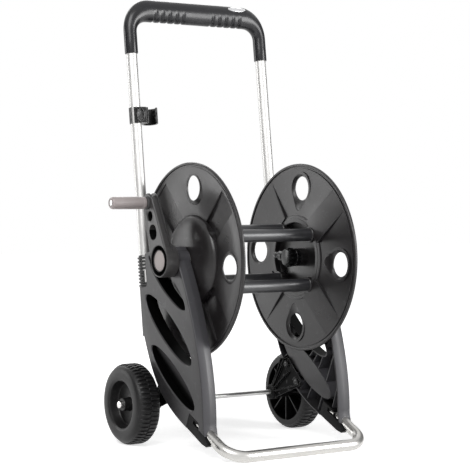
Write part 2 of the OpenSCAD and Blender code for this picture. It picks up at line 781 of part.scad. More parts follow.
// swivel that turns with the drum on the fixed barrel and leads the water sideways
module swivel_elbow() {
  color("#19191a") drum_frame() difference() {
    union() {
      rod_x(elbow_in, hub_boss_x - elbow_in, elbow_r);
      for (a = [0:30:330]) rotate([a, 0, 0])
        translate([elbow_in + 3, elbow_r - 1, -1.5]) cube([14, 2.2, 3]);
      translate([tail_x, 0, 0]) rotate([-90, 0, 0])
        cylinder(h = tail_root, r = tail_d / 2 + tail_wall);
    }
    rod_x(spigot_in - over, hub_boss_x - spigot_in + 2 * over, barrel_d / 2 + running);
    rod_x(elbow_in + elbow_wall, spigot_in - elbow_in - elbow_wall, bore_water / 2 + tail_wall);
    translate([tail_x, 0, 0]) rotate([-90, 0, 0])
      cylinder(h = tail_root + over, r = tail_d / 2 - tail_wall);
  }
}
module hose_tail() {
  r = tail_d / 2;
  root = tail_root;
  color("#101011") drum_frame() translate([tail_x, 0, 0]) rotate([-90, 0, 0]) difference() {
    rotate_extrude() polygon([[0, root], [tail_nut_r, root], [tail_nut_r, root + 12],
      [r, root + 13], [r, root + 18], [r + 1, root + 19], [r, root + 24], [r + 1, root + 25],
      [r, root + 30], [r - 1, root + tail_l], [0, root + tail_l]]);
    translate([0, 0, root - over]) cylinder(h = tail_l + 2 * over, r = r - tail_wall);
  }
}

// ---- crank on the -X side, modelled on +X and mirrored ----
module crank_outline() {
  reach = crank_throw;
  big = crank_hub_d / 2;
  small = crank_tip_d / 2;
  lean = acos((big - small) / reach);
  circle(r = big);
  translate([reach, 0]) circle(r = small);
  polygon([[big * cos(lean), big * sin(lean)], [big * cos(lean), -big * sin(lean)],
    [reach + small * cos(lean), -small * sin(lean)], [reach + small * cos(lean), small * sin(lean)]]);
}
module crank_frame() {
  side(-1) at_axis() rotate([crank_angle, 0, 0]) children();
}
module crank_arm() {
  color("#6f6f72") crank_frame() difference() {
    union() {
      along_x(crank_out - crank_arm_t, crank_arm_t) crank_outline();
      rod_x(crank_in, crank_hub_l, crank_hub_d / 2);
      rod_x(dome_x, crank_in - dome_x + 1, barrel_d / 2);
      rotate([drum_turn - crank_angle, 0, 0])
        translate([dome_x - drive_l, -drive_w / 2, -drive_w / 2]) cube([drive_l + 1, drive_w, drive_w]);
      translate([0, crank_throw, 0]) rod_x(crank_out - 6, 6 + knuckle_l, knuckle_d / 2);
    }
    rod_x(crank_out - hub_recess, hub_recess + over, crank_hub_d / 2 - hub_rim);
    rod_x(crank_out - cap_sink, cap_sink + over, cap_d / 2 + seat);
    rod_x(dome_x - drive_l - over, bolt_l, bolt_d / 2);
    translate([0, arm_hole_y, 0]) rod_x(crank_in, crank_hub_l + over, arm_hole_r);
    for (y = arm_oval_y) translate([0, y, 0]) rod_x(crank_in, crank_hub_l + over, arm_oval_r);
    translate([0, crank_throw, 0])
      rod_x(crank_out - crank_arm_t + pin_floor, crank_arm_t + knuckle_l, crank_pin_d / 2 + seat);
  }
}
module crank_cap() {
  color("#c9c3c2") crank_frame() turned_x() polygon([[0, crank_out - cap_sink],
    [cap_d / 2, crank_out - cap_sink], [cap_d / 2, crank_out - 2.5], [cap_d / 2 - 1, crank_out - 2],
    [0, crank_out - 1.2]]);
}
module crank_bolt() {
  color("#b5b5b2") crank_frame() {
    rod_x(hub_boss_x - bolt_head_l, bolt_head_l, bolt_head_r);
    rod_x(hub_boss_x - bolt_head_l, bolt_l, bolt_d / 2 - seat);
  }
}
module crank_pin() {
  color("#b5b5b2") crank_frame() translate([0, crank_throw, 0]) {
    rod_x(crank_out - crank_arm_t + pin_floor,
      grip_out - pin_head - crank_out + crank_arm_t - pin_floor, crank_pin_d / 2);
    rod_x(grip_out - pin_head, pin_head - 0.5, crank_pin_d / 2 + pin_head);
  }
}
module crank_grip() {
  r = crank_grip_d / 2;
  color("#9b9391") crank_frame() translate([0, crank_throw, 0]) difference() {
    turned_x() polygon([[0, grip_in], [r - 1, grip_in], [r, grip_in + 1], [r, grip_out - 4],
      [r - 1, grip_out - 1], [r - 2.5, grip_out], [0, grip_out]]);
    rod_x(grip_in - over, crank_grip_l + 2 * over, crank_pin_d / 2 + running);
    rod_x(grip_out - pin_head - grip_play, 2 * pin_head, crank_pin_d / 2 + pin_head + grip_play);
  }
}

// ---- wheels ----
module tyre_shape(r) {
  turned_x() polygon([[dish_r, wheel_in], [r - shoulder, wheel_in], [r - 4, wheel_in + 3.5],
    [r, wheel_in + shoulder], [r, wheel_out - shoulder], [r - 3.5, wheel_out - 5],
    [r - shoulder, wheel_out - 1], [r - shoulder - 8, wheel_out], [dish_r + 4, wheel_out],
    [dish_r, wheel_out - 2]]);
}
// the gaps between the lugs of one half of the tread, as prisms to cut away
module tread_gaps(x, len, turn) {
  step = 360 / lugs;
  along_x(x, len) rotate(turn) difference() {
    circle(r = wheel_r + over);
    polygon([for (i = [0:lugs - 1], k = [0:3])
      let (a = i * step + lug_shape[k] * step,
        r = (k == 1 || k == 2) ? wheel_r + 3 * over : carcass_r)
      r * [cos(a), sin(a)]]);
  }
}
module wheel() {
  mid = (wheel_in + wheel_out) / 2;
  floor_x = wheel_out - dish_depth;
  translate([0, axle_y, axle_z]) difference() {
    union() {
      tyre_shape(wheel_r);
      rod_x(floor_x - face_wall, face_wall, dish_r + 1);
      turned_x() polygon([[0, wheel_sleeve_x], [wheel_hub_r, wheel_sleeve_x],
        [wheel_hub_r, hub_end_x - 1], [wheel_hub_r - 1, hub_end_x], [0, hub_end_x]]);
      for (i = [0:wheel_ribs - 1]) rotate([360 / wheel_ribs * i, 0, 0])
        translate([wheel_in + 3, 6, -1.25])
          cube([floor_x - wheel_in - 4, carcass_r - tyre_wall - 5, 2.5]);
    }
    tread_gaps(wheel_in - over, mid - tread_band - wheel_in + over, lug_turn);
    tread_gaps(mid + tread_band, wheel_out - mid - tread_band + over, lug_turn + 180 / lugs);
    difference() {
      turned_x() polygon([[dish_r + 4, wheel_in - over], [carcass_r - tyre_wall - 8, wheel_in - over],
        [carcass_r - tyre_wall, wheel_in + 9], [carcass_r - tyre_wall, wheel_out - 14],
        [carcass_r - tyre_wall - 10, wheel_out - 5], [dish_r + 4, wheel_out - 5]]);
      for (i = [0:wheel_ribs - 1]) rotate([360 / wheel_ribs * i, 0, 0])
        translate([wheel_in + 3, 6, -1.25])
          cube([wheel_w - 12, carcass_r, 2.5]);
    }
    rod_x(wheel_sleeve_x - over, wheel_w + 60, axle_d / 2 + running);
  }
}
module left_wheel() {
  color("#1c1c1d") side(-1) wheel();
}
module right_wheel() {
  color("#1c1c1d") side(1) wheel();
}

// ---- handle: a U of tube that slides in the collars, with grip, badge and clip ----
module handle_path(ro, ri, leg) {
  translate([0, 0, handle_rise]) rotate([-90, 0, 0]) u_tube(leg_x, handle_bend_r, leg, ro, ri);
}
module handle_tube() {
  color("#d5d6d8") leg_frame()
    handle_path(handle_tube_d / 2, handle_tube_d / 2 - tube_wall, handle_rise + handle_reach);
}
function smooth(t) = t * t * (3 - 2 * t);
function clamp01(t) = max(0, min(1, t));
// half sizes of the grip's section: away from the hand, towards it, and front to back
function groove(x) = len([for (g = groove_at) if (abs(abs(x) - g) < groove_width) g]) == 0 ? 0
  : [for (g = groove_at) if (abs(abs(x) - g) < groove_width)
      groove_depth * (1 + cos(180 * (abs(x) - g) / groove_width)) / 2][0];
function grip_size(k, x) = let (s = sleeve_d / 2)
  [s + (grip_h / 2 - s) * k, s + (grip_h / 2 - s) * k - groove(x) * k, s + (grip_depth / 2 - s) * k];
// stations of the sweep: centre, outward direction and section size
bar_half = leg_x - handle_bend_r;
bar_count = ceil(2 * bar_half / bar_step);
function leg_stations(s) = [for (w = [sleeve_low, (sleeve_low + handle_rise - handle_bend_r) / 2])
  [[s * leg_x, w], [s, 0], grip_size(0, leg_x)]];
function bend_stations(s) = [for (i = [0:bend_steps]) let (a = 90 * i / bend_steps)
  [[s * (bar_half + handle_bend_r * cos(a)), handle_rise - handle_bend_r + handle_bend_r * sin(a)],
    [s * cos(a), sin(a)], grip_size(smooth(i / bend_steps), leg_x)]];
function bar_stations() = [for (i = [1:bar_count - 1])
  let (x = -bar_half + 2 * bar_half * i / bar_count) [[x, handle_rise], [0, 1], grip_size(1, x)]];
grip_stations = concat(leg_stations(-1), bend_stations(-1), bar_stations(),
  reversed(bend_stations(1)), reversed(leg_stations(1)));
function grip_ring(g) = [for (j = [0:grip_sides - 1]) let (a = 360 * j / grip_sides,
  n = (cos(a) > 0 ? g[2][0] : g[2][1]) * cos(a))
  [g[0][0] + g[1][0] * n, -g[2][2] * sin(a), g[0][1] + g[1][1] * n]];
module grip_body() {
  n = len(grip_stations);
  m = grip_sides;
  points = [for (g = grip_stations) each grip_ring(g)];
  faces = concat([[for (j = [0:m - 1]) j]], [[for (j = [m - 1:-1:0]) (n - 1) * m + j]],
    [for (i = [0:n - 2], j = [0:m - 1]) let (k = (j + 1) % m)
      [i * m + j, (i + 1) * m + j, (i + 1) * m + k]],
    [for (i = [0:n - 2], j = [0:m - 1]) let (k = (j + 1) % m)
      [i * m + j, (i + 1) * m + k, i * m + k]]);
  polyhedron(points, faces);
}
module badge_plate(grow) {
  translate([badge_x, -grip_depth / 2 * sin(badge_turn), handle_rise + grip_h / 2 * cos(badge_turn)])
    rotate([atan2(sin(badge_turn) * grip_h, cos(badge_turn) * grip_depth), 0, 0])
      translate([0, 0, -badge_t / 2]) linear_extrude(badge_t + grow)
        polygon([for (a = [0:10:350])
          [(badge_l / 2 + seat * grow) * cos(a), (badge_w / 2 + seat * grow) * sin(a)]]);
}
module handle_grip() {
  color("#1b1b1d") leg_frame() difference() {
    grip_body();
    handle_path(handle_tube_d / 2 + seat, 0, handle_rise - sleeve_low + over);
    badge_plate(1);
  }
}
module grip_badge() {
  color("#d8d8d8") leg_frame() badge_plate(0);
}
module handle_end_plugs() {
  r = handle_tube_d / 2;
  color("#1d1d1f") leg_frame() for (s = [-1, 1]) side(s) translate([leg_x, 0, -handle_reach]) {
    translate([0, 0, -plug_head]) cylinder(h = plug_head, r = r);
    cylinder(h = plug_l, r = r - tube_wall - seat);
  }
}
// a split collar on the tube with an open C beside it for the hose nozzle
clip_ro = handle_tube_d / 2 + clip_wall;
clip_web = 8;
clip_ear = 10;
clip_ear_turn = 215;
clip_split = 2;
clip_mouth = 0.38 * nozzle_d;
clip_screw_r = 2;
clip_screw_l = 14;
nozzle_x = clip_ro + nozzle_d / 2 + clip_wall;
module nozzle_clip() {
  no = nozzle_d / 2 + clip_wall;
  color("#151516") leg_frame() translate([-leg_x, 0, clip_z]) difference() {
    union() {
      cylinder(h = clip_l, r = clip_ro);
      translate([nozzle_x, 0, 0]) cylinder(h = clip_l, r = no);
      translate([0, -clip_web / 2, 0]) cube([nozzle_x, clip_web, clip_l]);
      rotate([0, 0, clip_ear_turn]) translate([0, -clip_ear / 2, clip_wall])
        cube([clip_ro + clip_ear, clip_ear, clip_l - 2 * clip_wall]);
    }
    translate([0, 0, -over]) {
      cylinder(h = clip_l + 2 * over, r = handle_tube_d / 2 + seat);
      translate([nozzle_x, 0, 0]) cylinder(h = clip_l + 2 * over, r = nozzle_d / 2);
      translate([nozzle_x - clip_mouth, -no - over, 0])
        cube([2 * clip_mouth, no + over, clip_l + 2 * over]);
      rotate([0, 0, clip_ear_turn]) translate([0, -clip_split / 2, 0])
        cube([clip_ro + 2 * clip_ear, clip_split, clip_l + 2 * over]);
    }
    clip_screw_frame() cylinder(h = 2 * clip_ear, r = clip_screw_r + seat, center = true);
  }
}
// the screw crosses the two ears of the split collar
module clip_screw_frame() {
  rotate([0, 0, clip_ear_turn]) translate([clip_ro + clip_ear / 2, 0, clip_l / 2])
    rotate([90, 0, 0]) children();
}
module clip_screw() {
  color("#b5b5b2") leg_frame() translate([-leg_x, 0, clip_z]) clip_screw_frame() {
    cylinder(h = clip_screw_l, r = clip_screw_r, center = true);
    translate([0, 0, clip_ear / 2]) cylinder(h = 1.5 * clip_screw_r, r = 2 * clip_screw_r);
  }
}

left_panel();
right_panel();
left_tube_collar();
right_tube_collar();
left_foot_cap();
right_foot_cap();
foot_tube();
axle();
axle_caps();
left_axle_bracket();
right_axle_bracket();
bracket_screws();
left_bush();
right_bush();
inlet_spigot();
spigot_seal();
left_flange();
right_flange();
core_tube_1();
core_tube_2();
core_tube_3();
core_tube_4();
swivel_elbow();
hose_tail();
crank_arm();
crank_cap();
crank_bolt();
crank_pin();
crank_grip();
left_wheel();
right_wheel();
handle_tube();
handle_grip();
grip_badge();
handle_end_plugs();
nozzle_clip();
clip_screw();
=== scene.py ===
import math

import bmesh
import bpy
from mathutils import Matrix, Vector


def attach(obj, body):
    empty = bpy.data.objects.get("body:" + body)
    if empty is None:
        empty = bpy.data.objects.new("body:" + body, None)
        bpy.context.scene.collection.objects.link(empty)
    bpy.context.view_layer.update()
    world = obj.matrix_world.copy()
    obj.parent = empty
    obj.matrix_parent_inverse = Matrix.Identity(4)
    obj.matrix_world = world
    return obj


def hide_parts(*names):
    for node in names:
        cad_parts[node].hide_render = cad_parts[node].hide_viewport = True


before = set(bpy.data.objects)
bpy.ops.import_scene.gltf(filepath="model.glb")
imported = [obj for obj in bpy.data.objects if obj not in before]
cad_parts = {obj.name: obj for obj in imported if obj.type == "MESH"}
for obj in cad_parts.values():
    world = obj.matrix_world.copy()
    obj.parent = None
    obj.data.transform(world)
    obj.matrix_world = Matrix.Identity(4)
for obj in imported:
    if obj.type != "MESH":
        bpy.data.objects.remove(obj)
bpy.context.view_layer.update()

# ---- viewpoint ----
# The trolley is seen from its front left corner, from a few steps away and level with
# the drum, so the lens is a long one and the tubes stay upright.
scene = bpy.context.scene
lens = bpy.data.cameras.new("viewpoint")
lens.sensor_fit = "HORIZONTAL"
lens.sensor_width = 36
lens.lens = 114.58
viewpoint = bpy.data.objects.new("viewpoint", lens)
viewpoint.location = (-1.6419, -2.4771, 0.4926)
viewpoint.rotation_euler = (math.radians(88.50), 0, math.radians(-33.10))
scene.collection.objects.link(viewpoint)
scene.camera = viewpoint
scene.view_settings.view_transform = "Standard"


# ---- room ----
# White air and a white floor, one wide lamp high at the left, a soft one behind at the
# left that lights the outer faces, one low at the front right and a strip behind.
def feed(node, *first, **named):
    """Gives a node's inputs a value or a link each, in order or by name, _ for a space.

    A node among the values stands for its first output in use.
    """
    wanted = list(zip(node.inputs, first))
    wanted += [(node.inputs[name.replace("_", " ")], value) for name, value in named.items()]
    for socket, value in wanted:
        if isinstance(value, bpy.types.Node):
            value = next(output for output in value.outputs if output.enabled)
        if isinstance(value, bpy.types.NodeSocket):
            node.id_data.links.new(value, socket)
        else:
            socket.default_value = value


def put(tree, kind, *first, operation=None, **named):
    """A new node with its inputs fed. A Mix node mixes colours."""
    made = tree.nodes.new(kind)
    if operation:
        made.operation = operation
    if kind == "ShaderNodeMix":
        made.data_type = "RGBA"
    feed(made, *first, **named)
    return made


def blank(name):
    """A new material, its node tree and its surface shader."""
    look = bpy.data.materials.new(name)
    look.use_nodes = True
    return look, look.node_tree, look.node_tree.nodes["Principled BSDF"]


def in_sight(tree):
    """1 for camera, glossy and transmission rays, 0 for the rays that light the scene."""
    ray = put(tree, "ShaderNodeLightPath").outputs
    direct = put(tree, "ShaderNodeMath", ray["Is Camera Ray"], ray["Is Glossy Ray"],
                 operation="MAXIMUM")
    return put(tree, "ShaderNodeMath", direct, ray["Is Transmission Ray"], operation="MAXIMUM")


white = bpy.data.worlds.new("white room")
white.use_nodes = True
scene.world = white
air = white.node_tree
soft_air = air.nodes["Background"]
feed(soft_air, Color=(1, 1, 1, 1), Strength=0.13)
plain_air = put(air, "ShaderNodeBackground", Color=(1, 1, 1, 1), Strength=1.0)
choose_air = put(air, "ShaderNodeMixShader", in_sight(air), soft_air, plain_air)
feed(air.nodes["World Output"], Surface=choose_air)


def sheet(name, corners, look):
    """A flat sheet of the room with four corners."""
    mesh = bpy.data.meshes.new(name)
    mesh.from_pydata(corners, [], [(0, 1, 2, 3)])
    mesh.materials.append(look)
    made = bpy.data.objects.new(name, mesh)
    scene.collection.objects.link(made)
    return made


# The floor is matt white and glows a little more with distance, so that it keeps a soft
# shadow under the trolley and has no visible end.
floor_white, ground, spare_shader = blank("white floor")
ground.nodes.remove(spare_shader)
where = put(ground, "ShaderNodeTexCoord")
reach = put(ground, "ShaderNodeVectorMath", where.outputs["Object"], operation="LENGTH")
fade = put(ground, "ShaderNodeMapRange", Value=reach, From_Min=0.5, From_Max=2.2, To_Min=0.60,
           To_Max=1.0)
matt = put(ground, "ShaderNodeBsdfDiffuse", Color=(0.86, 0.86, 0.86, 1))
glow = put(ground, "ShaderNodeEmission", Color=(1, 1, 1, 1), Strength=fade)
lit = put(ground, "ShaderNodeAddShader", matt, glow)
pick = put(ground, "ShaderNodeMixShader", in_sight(ground), matt, lit)
feed(ground.nodes["Material Output"], Surface=pick)
sheet("floor", [(-9, -9, 0), (9, -9, 0), (9, 9, 0), (-9, 9, 0)], floor_white)


def lamp(name, place, aim, width, height, power):
    """A soft box lamp at a place, turned to a point it aims at."""
    light = bpy.data.lights.new(name, "AREA")
    light.shape = "RECTANGLE"
    light.size = width
    light.size_y = height
    light.energy = power
    holder = bpy.data.objects.new(name, light)
    holder.location = place
    holder.rotation_euler = (Vector(aim) - Vector(place)).to_track_quat("-Z", "Y").to_euler()
    scene.collection.objects.link(holder)


def card(name, shade, corner, width, depth):
    """An upright board outside the picture that only shiny skins show."""
    look, _, skin = blank(name)
    feed(skin, Base_Color=(shade, shade, shade, 1), Specular_IOR_Level=0)
    x, y = corner
    height = 2.0
    foot = [(x, y, 0), (x + width, y + depth, 0)]
    top = [(x + width, y + depth, height), (x, y, height)]
    made = sheet(name, foot + top, look)
    made.visible_camera = made.visible_diffuse = made.visible_shadow = False


card("right card", 0.30, (2.4, -1.3), 0, 2.8)
card("rear left card", 0.02, (-1.86, 2.36), -1.09, -1.84)
card("left card", 0.6, (-2.45, -1.2), 0, 0.9)
lamp("left lamp", (-2.05, -1.75, 2.6), (0, 0, 0.4), 1.9, 1.9, 78)
lamp("rear left lamp", (-1.7, 1.9, 0.75), (-0.1, 0, 0.3), 0.7, 1.1, 13)
lamp("front right lamp", (1.7, -2.2, 0.9), (0, 0, 0.3), 1.0, 1.5, 52)
lamp("rear strip", (0.5, 2.6, 2.2), (0, 0, 0.5), 2.2, 0.8, 20)


# ---- side panels ----
# Two moulded shells stand on edge, one each side of the drum. Each has a face with two leaf-shaped
# openings and one scoop, a deep rim all round, and thin ribs inside. The openings' walls and the
# scoop's floor get painted shade that turns them black with depth, and the faces that face the
# front get a paler, bluish painted sheen.
def solid(name, points, faces):
    """A closed mesh at the origin from points in millimetres, with its normals outwards."""
    mesh = bpy.data.meshes.new(name)
    mesh.from_pydata([(x / 1000, y / 1000, z / 1000) for x, y, z in points], [], faces)
    work = bmesh.new()
    work.from_mesh(mesh)
    bmesh.ops.remove_doubles(work, verts=work.verts, dist=1e-6)
    bmesh.ops.recalc_face_normals(work, faces=work.faces)
    work.to_mesh(mesh)
    work.free()
    made = bpy.data.objects.new(name, mesh)
    scene.collection.objects.link(made)
    return made


def loft(name, rings):
    """A closed skin over rings of equally many points, flat at both ends."""
    n = len(rings[0])
    last = (len(rings) - 1) * n
    points = [p for ring in rings for p in ring]
    faces = [[i * n + j, i * n + (j + 1) % n, (i + 1) * n + (j + 1) % n, (i + 1) * n + j]
             for i in range(len(rings) - 1) for j in range(n)]
    faces += [list(range(n)), [last + j for j in range(n)]]
    return solid(name, points, faces)


def inset(outline, d):
    """An anticlockwise outline moved inwards by d, corners kept."""
    moved = []
    for i, b in enumerate(outline):
        a, c = outline[i - 1], outline[(i + 1) % len(outline)]
        m = Vector((a[1] - b[1], b[0] - a[0])).normalized()
        n = Vector((b[1] - c[1], c[0] - b[0])).normalized()
        w = (m + n).normalized()
        moved.append((b[0] + w.x * d / w.dot(m), b[1] + w.y * d / w.dot(m)))
    return moved


def stacked(name, sections):
    """A loft over outlines in Y and Z, each given with its x."""
    return loft(name, [[(x, *p) for p in outline] for x, outline in sections])


def board(name, outline, x0, x1, round0=0.0, round1=0.0):
    """A board between x0 and x1 with that outline in Y and Z and its two rims rounded."""
    steps = 5
    quarter = [math.pi / 2 * k / steps for k in range(steps + 1)]
    rims = [(x0, 0)]
    if round0:
        rims = [(x0 + round0 * (1 - math.cos(a)), round0 * (1 - math.sin(a))) for a in quarter]
    if round1:
        rims += [(x1 - round1 * (1 - math.sin(a)), round1 * (1 - math.cos(a))) for a in quarter]
    else:
        rims.append((x1, 0))
    return stacked(name, [(x, inset(outline, d) if d else outline) for x, d in rims])


def around(n):
    """n angles at equal steps, once round."""
    return [2 * math.pi * i / n for i in range(n)]


def lathed(name, profile, steps, place):
    """A closed profile of (radius, length) turned once round; place sets each point down."""
    points, faces, n = [], [], len(profile)
    for a in around(steps):
        points += [place(r * math.cos(a), r * math.sin(a), along) for r, along in profile]
    for i in range(steps):
        k = (i + 1) % steps
        faces += [[i * n + j, i * n + (j + 1) % n, k * n + (j + 1) % n, k * n + j]
                  for j in range(n)]
    return solid(name, points, faces)


def turned(name, profile, y, z, steps=72):
    """A closed profile of (radius, x) turned about a line along X through y, z."""
    return lathed(name, profile, steps, lambda u, v, along: (along, y + u, z + v))


def rod(name, x0, x1, radius, y, z, steps=48):
    """A plain round rod along X through y, z."""
    return turned(name, [(0, x0), (radius, x0), (radius, x1), (0, x1)], y, z, steps)


def carve(made, tool, operation="DIFFERENCE"):
    """Cuts tool out of a piece, or joins or keeps what they share, and drops the tool."""
    step = made.modifiers.new("carve", "BOOLEAN")
    step.operation = operation
    step.object = tool
    step.solver = "MANIFOLD"
    bpy.context.view_layer.update()
    seen = made.evaluated_get(bpy.context.evaluated_depsgraph_get())
    result = bpy.data.meshes.new_from_object(seen)
    made.modifiers.clear()
    made.data = result
    bpy.data.objects.remove(tool)


def moved(made, place, degrees, axis="X"):
    """Turns a piece about an axis through the origin and moves it to a place in millimetres."""
    made.data.transform(Matrix.Translation([v / 1000 for v in place])
                        @ Matrix.Rotation(math.radians(degrees), 4, axis))
    return made


def flipped(made):
    """Turns a piece into its mirror image on the other side of the trolley."""
    made.data.transform(Matrix.Scale(-1, 4, (1, 0, 0)))
    made.data.flip_normals()
    return made


def mirrored(made, name):
    """A second piece, the mirror image of the first."""
    copy = bpy.data.objects.new(name, made.data.copy())
    scene.collection.objects.link(copy)
    return flipped(copy)


def fit(made, finish, body, stands_for, crease=32):
    """Gives a piece its finish, smooths all but its creases, and puts it on its body."""
    made.data.materials.clear()
    made.data.materials.append(finish)
    made.data.shade_smooth()
    made.data.set_sharp_from_angle(angle=math.radians(crease))
    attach(made, body)
    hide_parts(*stands_for)


def fit_both(right, left_name, finish, nodes, bodies=("frame", "frame"), crease=32):
    """Fits a right-hand piece and its mirror image on the left, and returns that one."""
    left = mirrored(right, left_name)
    for made, body, node in zip((right, left), bodies, nodes):
        fit(made, finish, body, [node], crease)
    return left


def moulded(name, colour, rough, pale=(0.16, 0.16, 0.17), wear_and_highlight=0.2, grain=1400.0,
            relief=0.00004, shine=0.4, edge_wear_and_highlight_width=0.0012):
    """Moulded plastic: fine grain, gloss that varies a little, paler worn spots, and paler edges
    that are partly wear and partly painted highlight.
    """
    finish, tree, skin = blank(name)
    place = put(tree, "ShaderNodeTexCoord").outputs["Object"]
    fine = put(tree, "ShaderNodeTexNoise", Vector=place, Scale=grain, Detail=2)
    bump = put(tree, "ShaderNodeBump", Strength=0.35, Distance=relief, Height=fine)
    cloud = put(tree, "ShaderNodeTexNoise", Vector=place, Scale=11, Detail=5)
    gloss = put(tree, "ShaderNodeMapRange", Value=cloud, From_Min=0.3, From_Max=0.7,
                To_Min=rough - 0.05, To_Max=rough + 0.07)
    worn = put(tree, "ShaderNodeTexNoise", Vector=place, Scale=60, Detail=8, Distortion=1.5)
    spots = put(tree, "ShaderNodeMapRange", Value=worn, From_Min=0.60, From_Max=0.80, To_Max=wear_and_highlight)
    # Edges turn towards the pale colour: partly wear, partly a painted highlight where edges catch
    # light.
    rim = put(tree, "ShaderNodeBevel", Radius=edge_wear_and_highlight_width)
    rim.samples = 4
    flat = put(tree, "ShaderNodeNewGeometry")
    turn = put(tree, "ShaderNodeVectorMath", rim, flat.outputs["Normal"], operation="DOT_PRODUCT")
    edge = put(tree, "ShaderNodeMapRange", Value=turn, From_Min=0.995, From_Max=0.85, To_Max=wear_and_highlight)
    most = put(tree, "ShaderNodeMath", edge, spots, operation="MAXIMUM")
    blend = put(tree, "ShaderNodeMix", Factor=most, A=(*colour, 1), B=(*pale, 1))
    feed(skin, Base_Color=blend, Roughness=gloss, Normal=bump, Specular_IOR_Level=shine)
    return finish


curve_steps = 48


def bezier(p, q, r, s):
    """A cubic curve from p to s, drawn towards q and r."""
    out = []
    for i in range(curve_steps + 1):
        t = i / curve_steps
        u = 1 - t
        out.append(tuple(u**3 * p[k] + 3 * u * u * t * q[k] + 3 * u * t * t * r[k] + t**3 * s[k]
                         for k in (0, 1)))
    return out


# The handle's legs run through the panels. Each leg is leg_x from the middle, passes
# through leg_y and leg_z, and is raked back by leg_rake degrees, with these ratios.
leg_x, leg_y, leg_z = 157.5, 132.8, 384.3
leg_rake, leg_cos, leg_sin, leg_tan = 7.33, 0.99183, 0.12758, 0.12863


def on_leg(v, w):
    """A point of the handle leg's own frame, v to the rear of its axis and w along it."""
    return (leg_y + v * leg_cos + w * leg_sin, leg_z - v * leg_sin + w * leg_cos)


def leg_rod(name, radius, w0, w1):
    """A round rod along the handle leg's line, from w0 to w1."""
    return loft(name, [[(leg_x + radius * math.cos(a), *on_leg(radius * math.sin(a), w))
                        for a in around(48)] for w in (w0, w1)])


# The foot tube slopes down to the front by foot_fall degrees and rests at foot_y, foot_z.
foot_y, foot_z, foot_fall = -185, 11, 24


def foot_point(s, t):
    """A point of the foot tube's own frame, s to the rear along it and t above it."""
    c, q = math.cos(math.radians(foot_fall)), math.sin(math.radians(foot_fall))
    return (foot_y + s * c - t * q, foot_z + s * q + t * c)


def foot_outline(drop):
    """The outline of the toe cap, or of the notch for it where its underside is dropped."""
    return [foot_point(s, t) for s, t in (
        (139, -16.5 - drop), (139, 15), (103, 15), (97, 3), (77, 3), (58, -3), (57, -7),
        (62, -13.5 - drop), (77, -16.5 - drop))]


def leaf(y, z, half_length, half_width, slope, grow=0.0):
    """An ellipse round y, z that rises to the rear by slope degrees, grown all round."""
    c, s = math.cos(math.radians(slope)), math.sin(math.radians(slope))
    out = []
    for a in around(72):
        u = (half_length + grow) * math.cos(a)
        v = (half_width + grow) * math.sin(a)
        out.append((y + u * c - v * s, z + u * s + v * c))
    return out


# The panel lies between these two x. A leaf is y, z, half length, half width and slope.
panel_in, panel_out, wall = 142.5, 172.5, 2.5
drum_z = 368
upper_leaf = (21, drum_z - 43.7, 83, 18, 35)
middle_leaf = (16, drum_z - 134, 104, 26, 35)
lower_leaf = (-1, drum_z - 225.5, 95, 23, 33.4)
collar_foot = -73.4
bracket_screws_at = ((24, 110), (60, 144))


def leaf_cut(name, shape):
    """What is cut away for a leaf: straight, then flared by a rounded lip at the face."""
    lip = 2.0
    rings = [(panel_in - 1, 0)]
    for k in range(6):
        rings.append((panel_out - lip * math.cos(math.pi / 2 * k / 5),
                      lip * (1 - math.sin(math.pi / 2 * (1 - k / 5)))))
    rings.append((panel_out + 1, lip))
    return stacked(name, [(x, leaf(*shape, grow=g)) for x, g in rings])


front_curve = bezier((-4, 395), (-61, 311), (-117, 176), (-115, 60))
rear_curve = bezier((-124, 24), (37, 76), (67, 116), (111, 215))
shoulder = [on_leg(0, collar_foot), on_leg(-22.2, collar_foot), on_leg(-23.5, -72.9),
            on_leg(-24, -71.6), on_leg(-24, -11.0), on_leg(-25.6, -8.8), (62, 393)]
panel_outline = (front_curve + rear_curve[:-1] + [(leg_y + (215 - leg_z) * leg_tan, 215)]
                 + shoulder)
black_panel = moulded("charcoal side panel", (0.027, 0.0260, 0.0275), 0.33, shine=0.36)
# The skin from its inner edge to its rounded face: x, and how far it is drawn in there.
rim = [(142.5, 1.6), (142.7, 1.1), (143.3, 0.82), (156.9, 0.05), (157.5, 0), (158.1, 0.05),
       (170, 0.7)]
rim += [(panel_out - 2.5 * (1 - math.sin(a)), 0.8 + 2.5 * (1 - math.cos(a)))
        for a in [math.pi / 10 * k for k in range(1, 6)]]
right_shell = stacked("right_side_panel", [(x, inset(panel_outline, d)) for x, d in rim])
carve(right_shell, board("hollow", inset(panel_outline, 3.4), panel_in - 1, panel_out - 3, 0, 1.5))


def shell_rib(outline):
    """Joins a thin rib to the shell, trimmed to what lies inside the rim."""
    rib = board("rib", outline, panel_in + 4, panel_out - 1)
    inside = board("inside", inset(panel_outline, 1.5), panel_in + 3, panel_out - 1)
    carve(rib, inside, "INTERSECT")
    carve(right_shell, rib, "UNION")


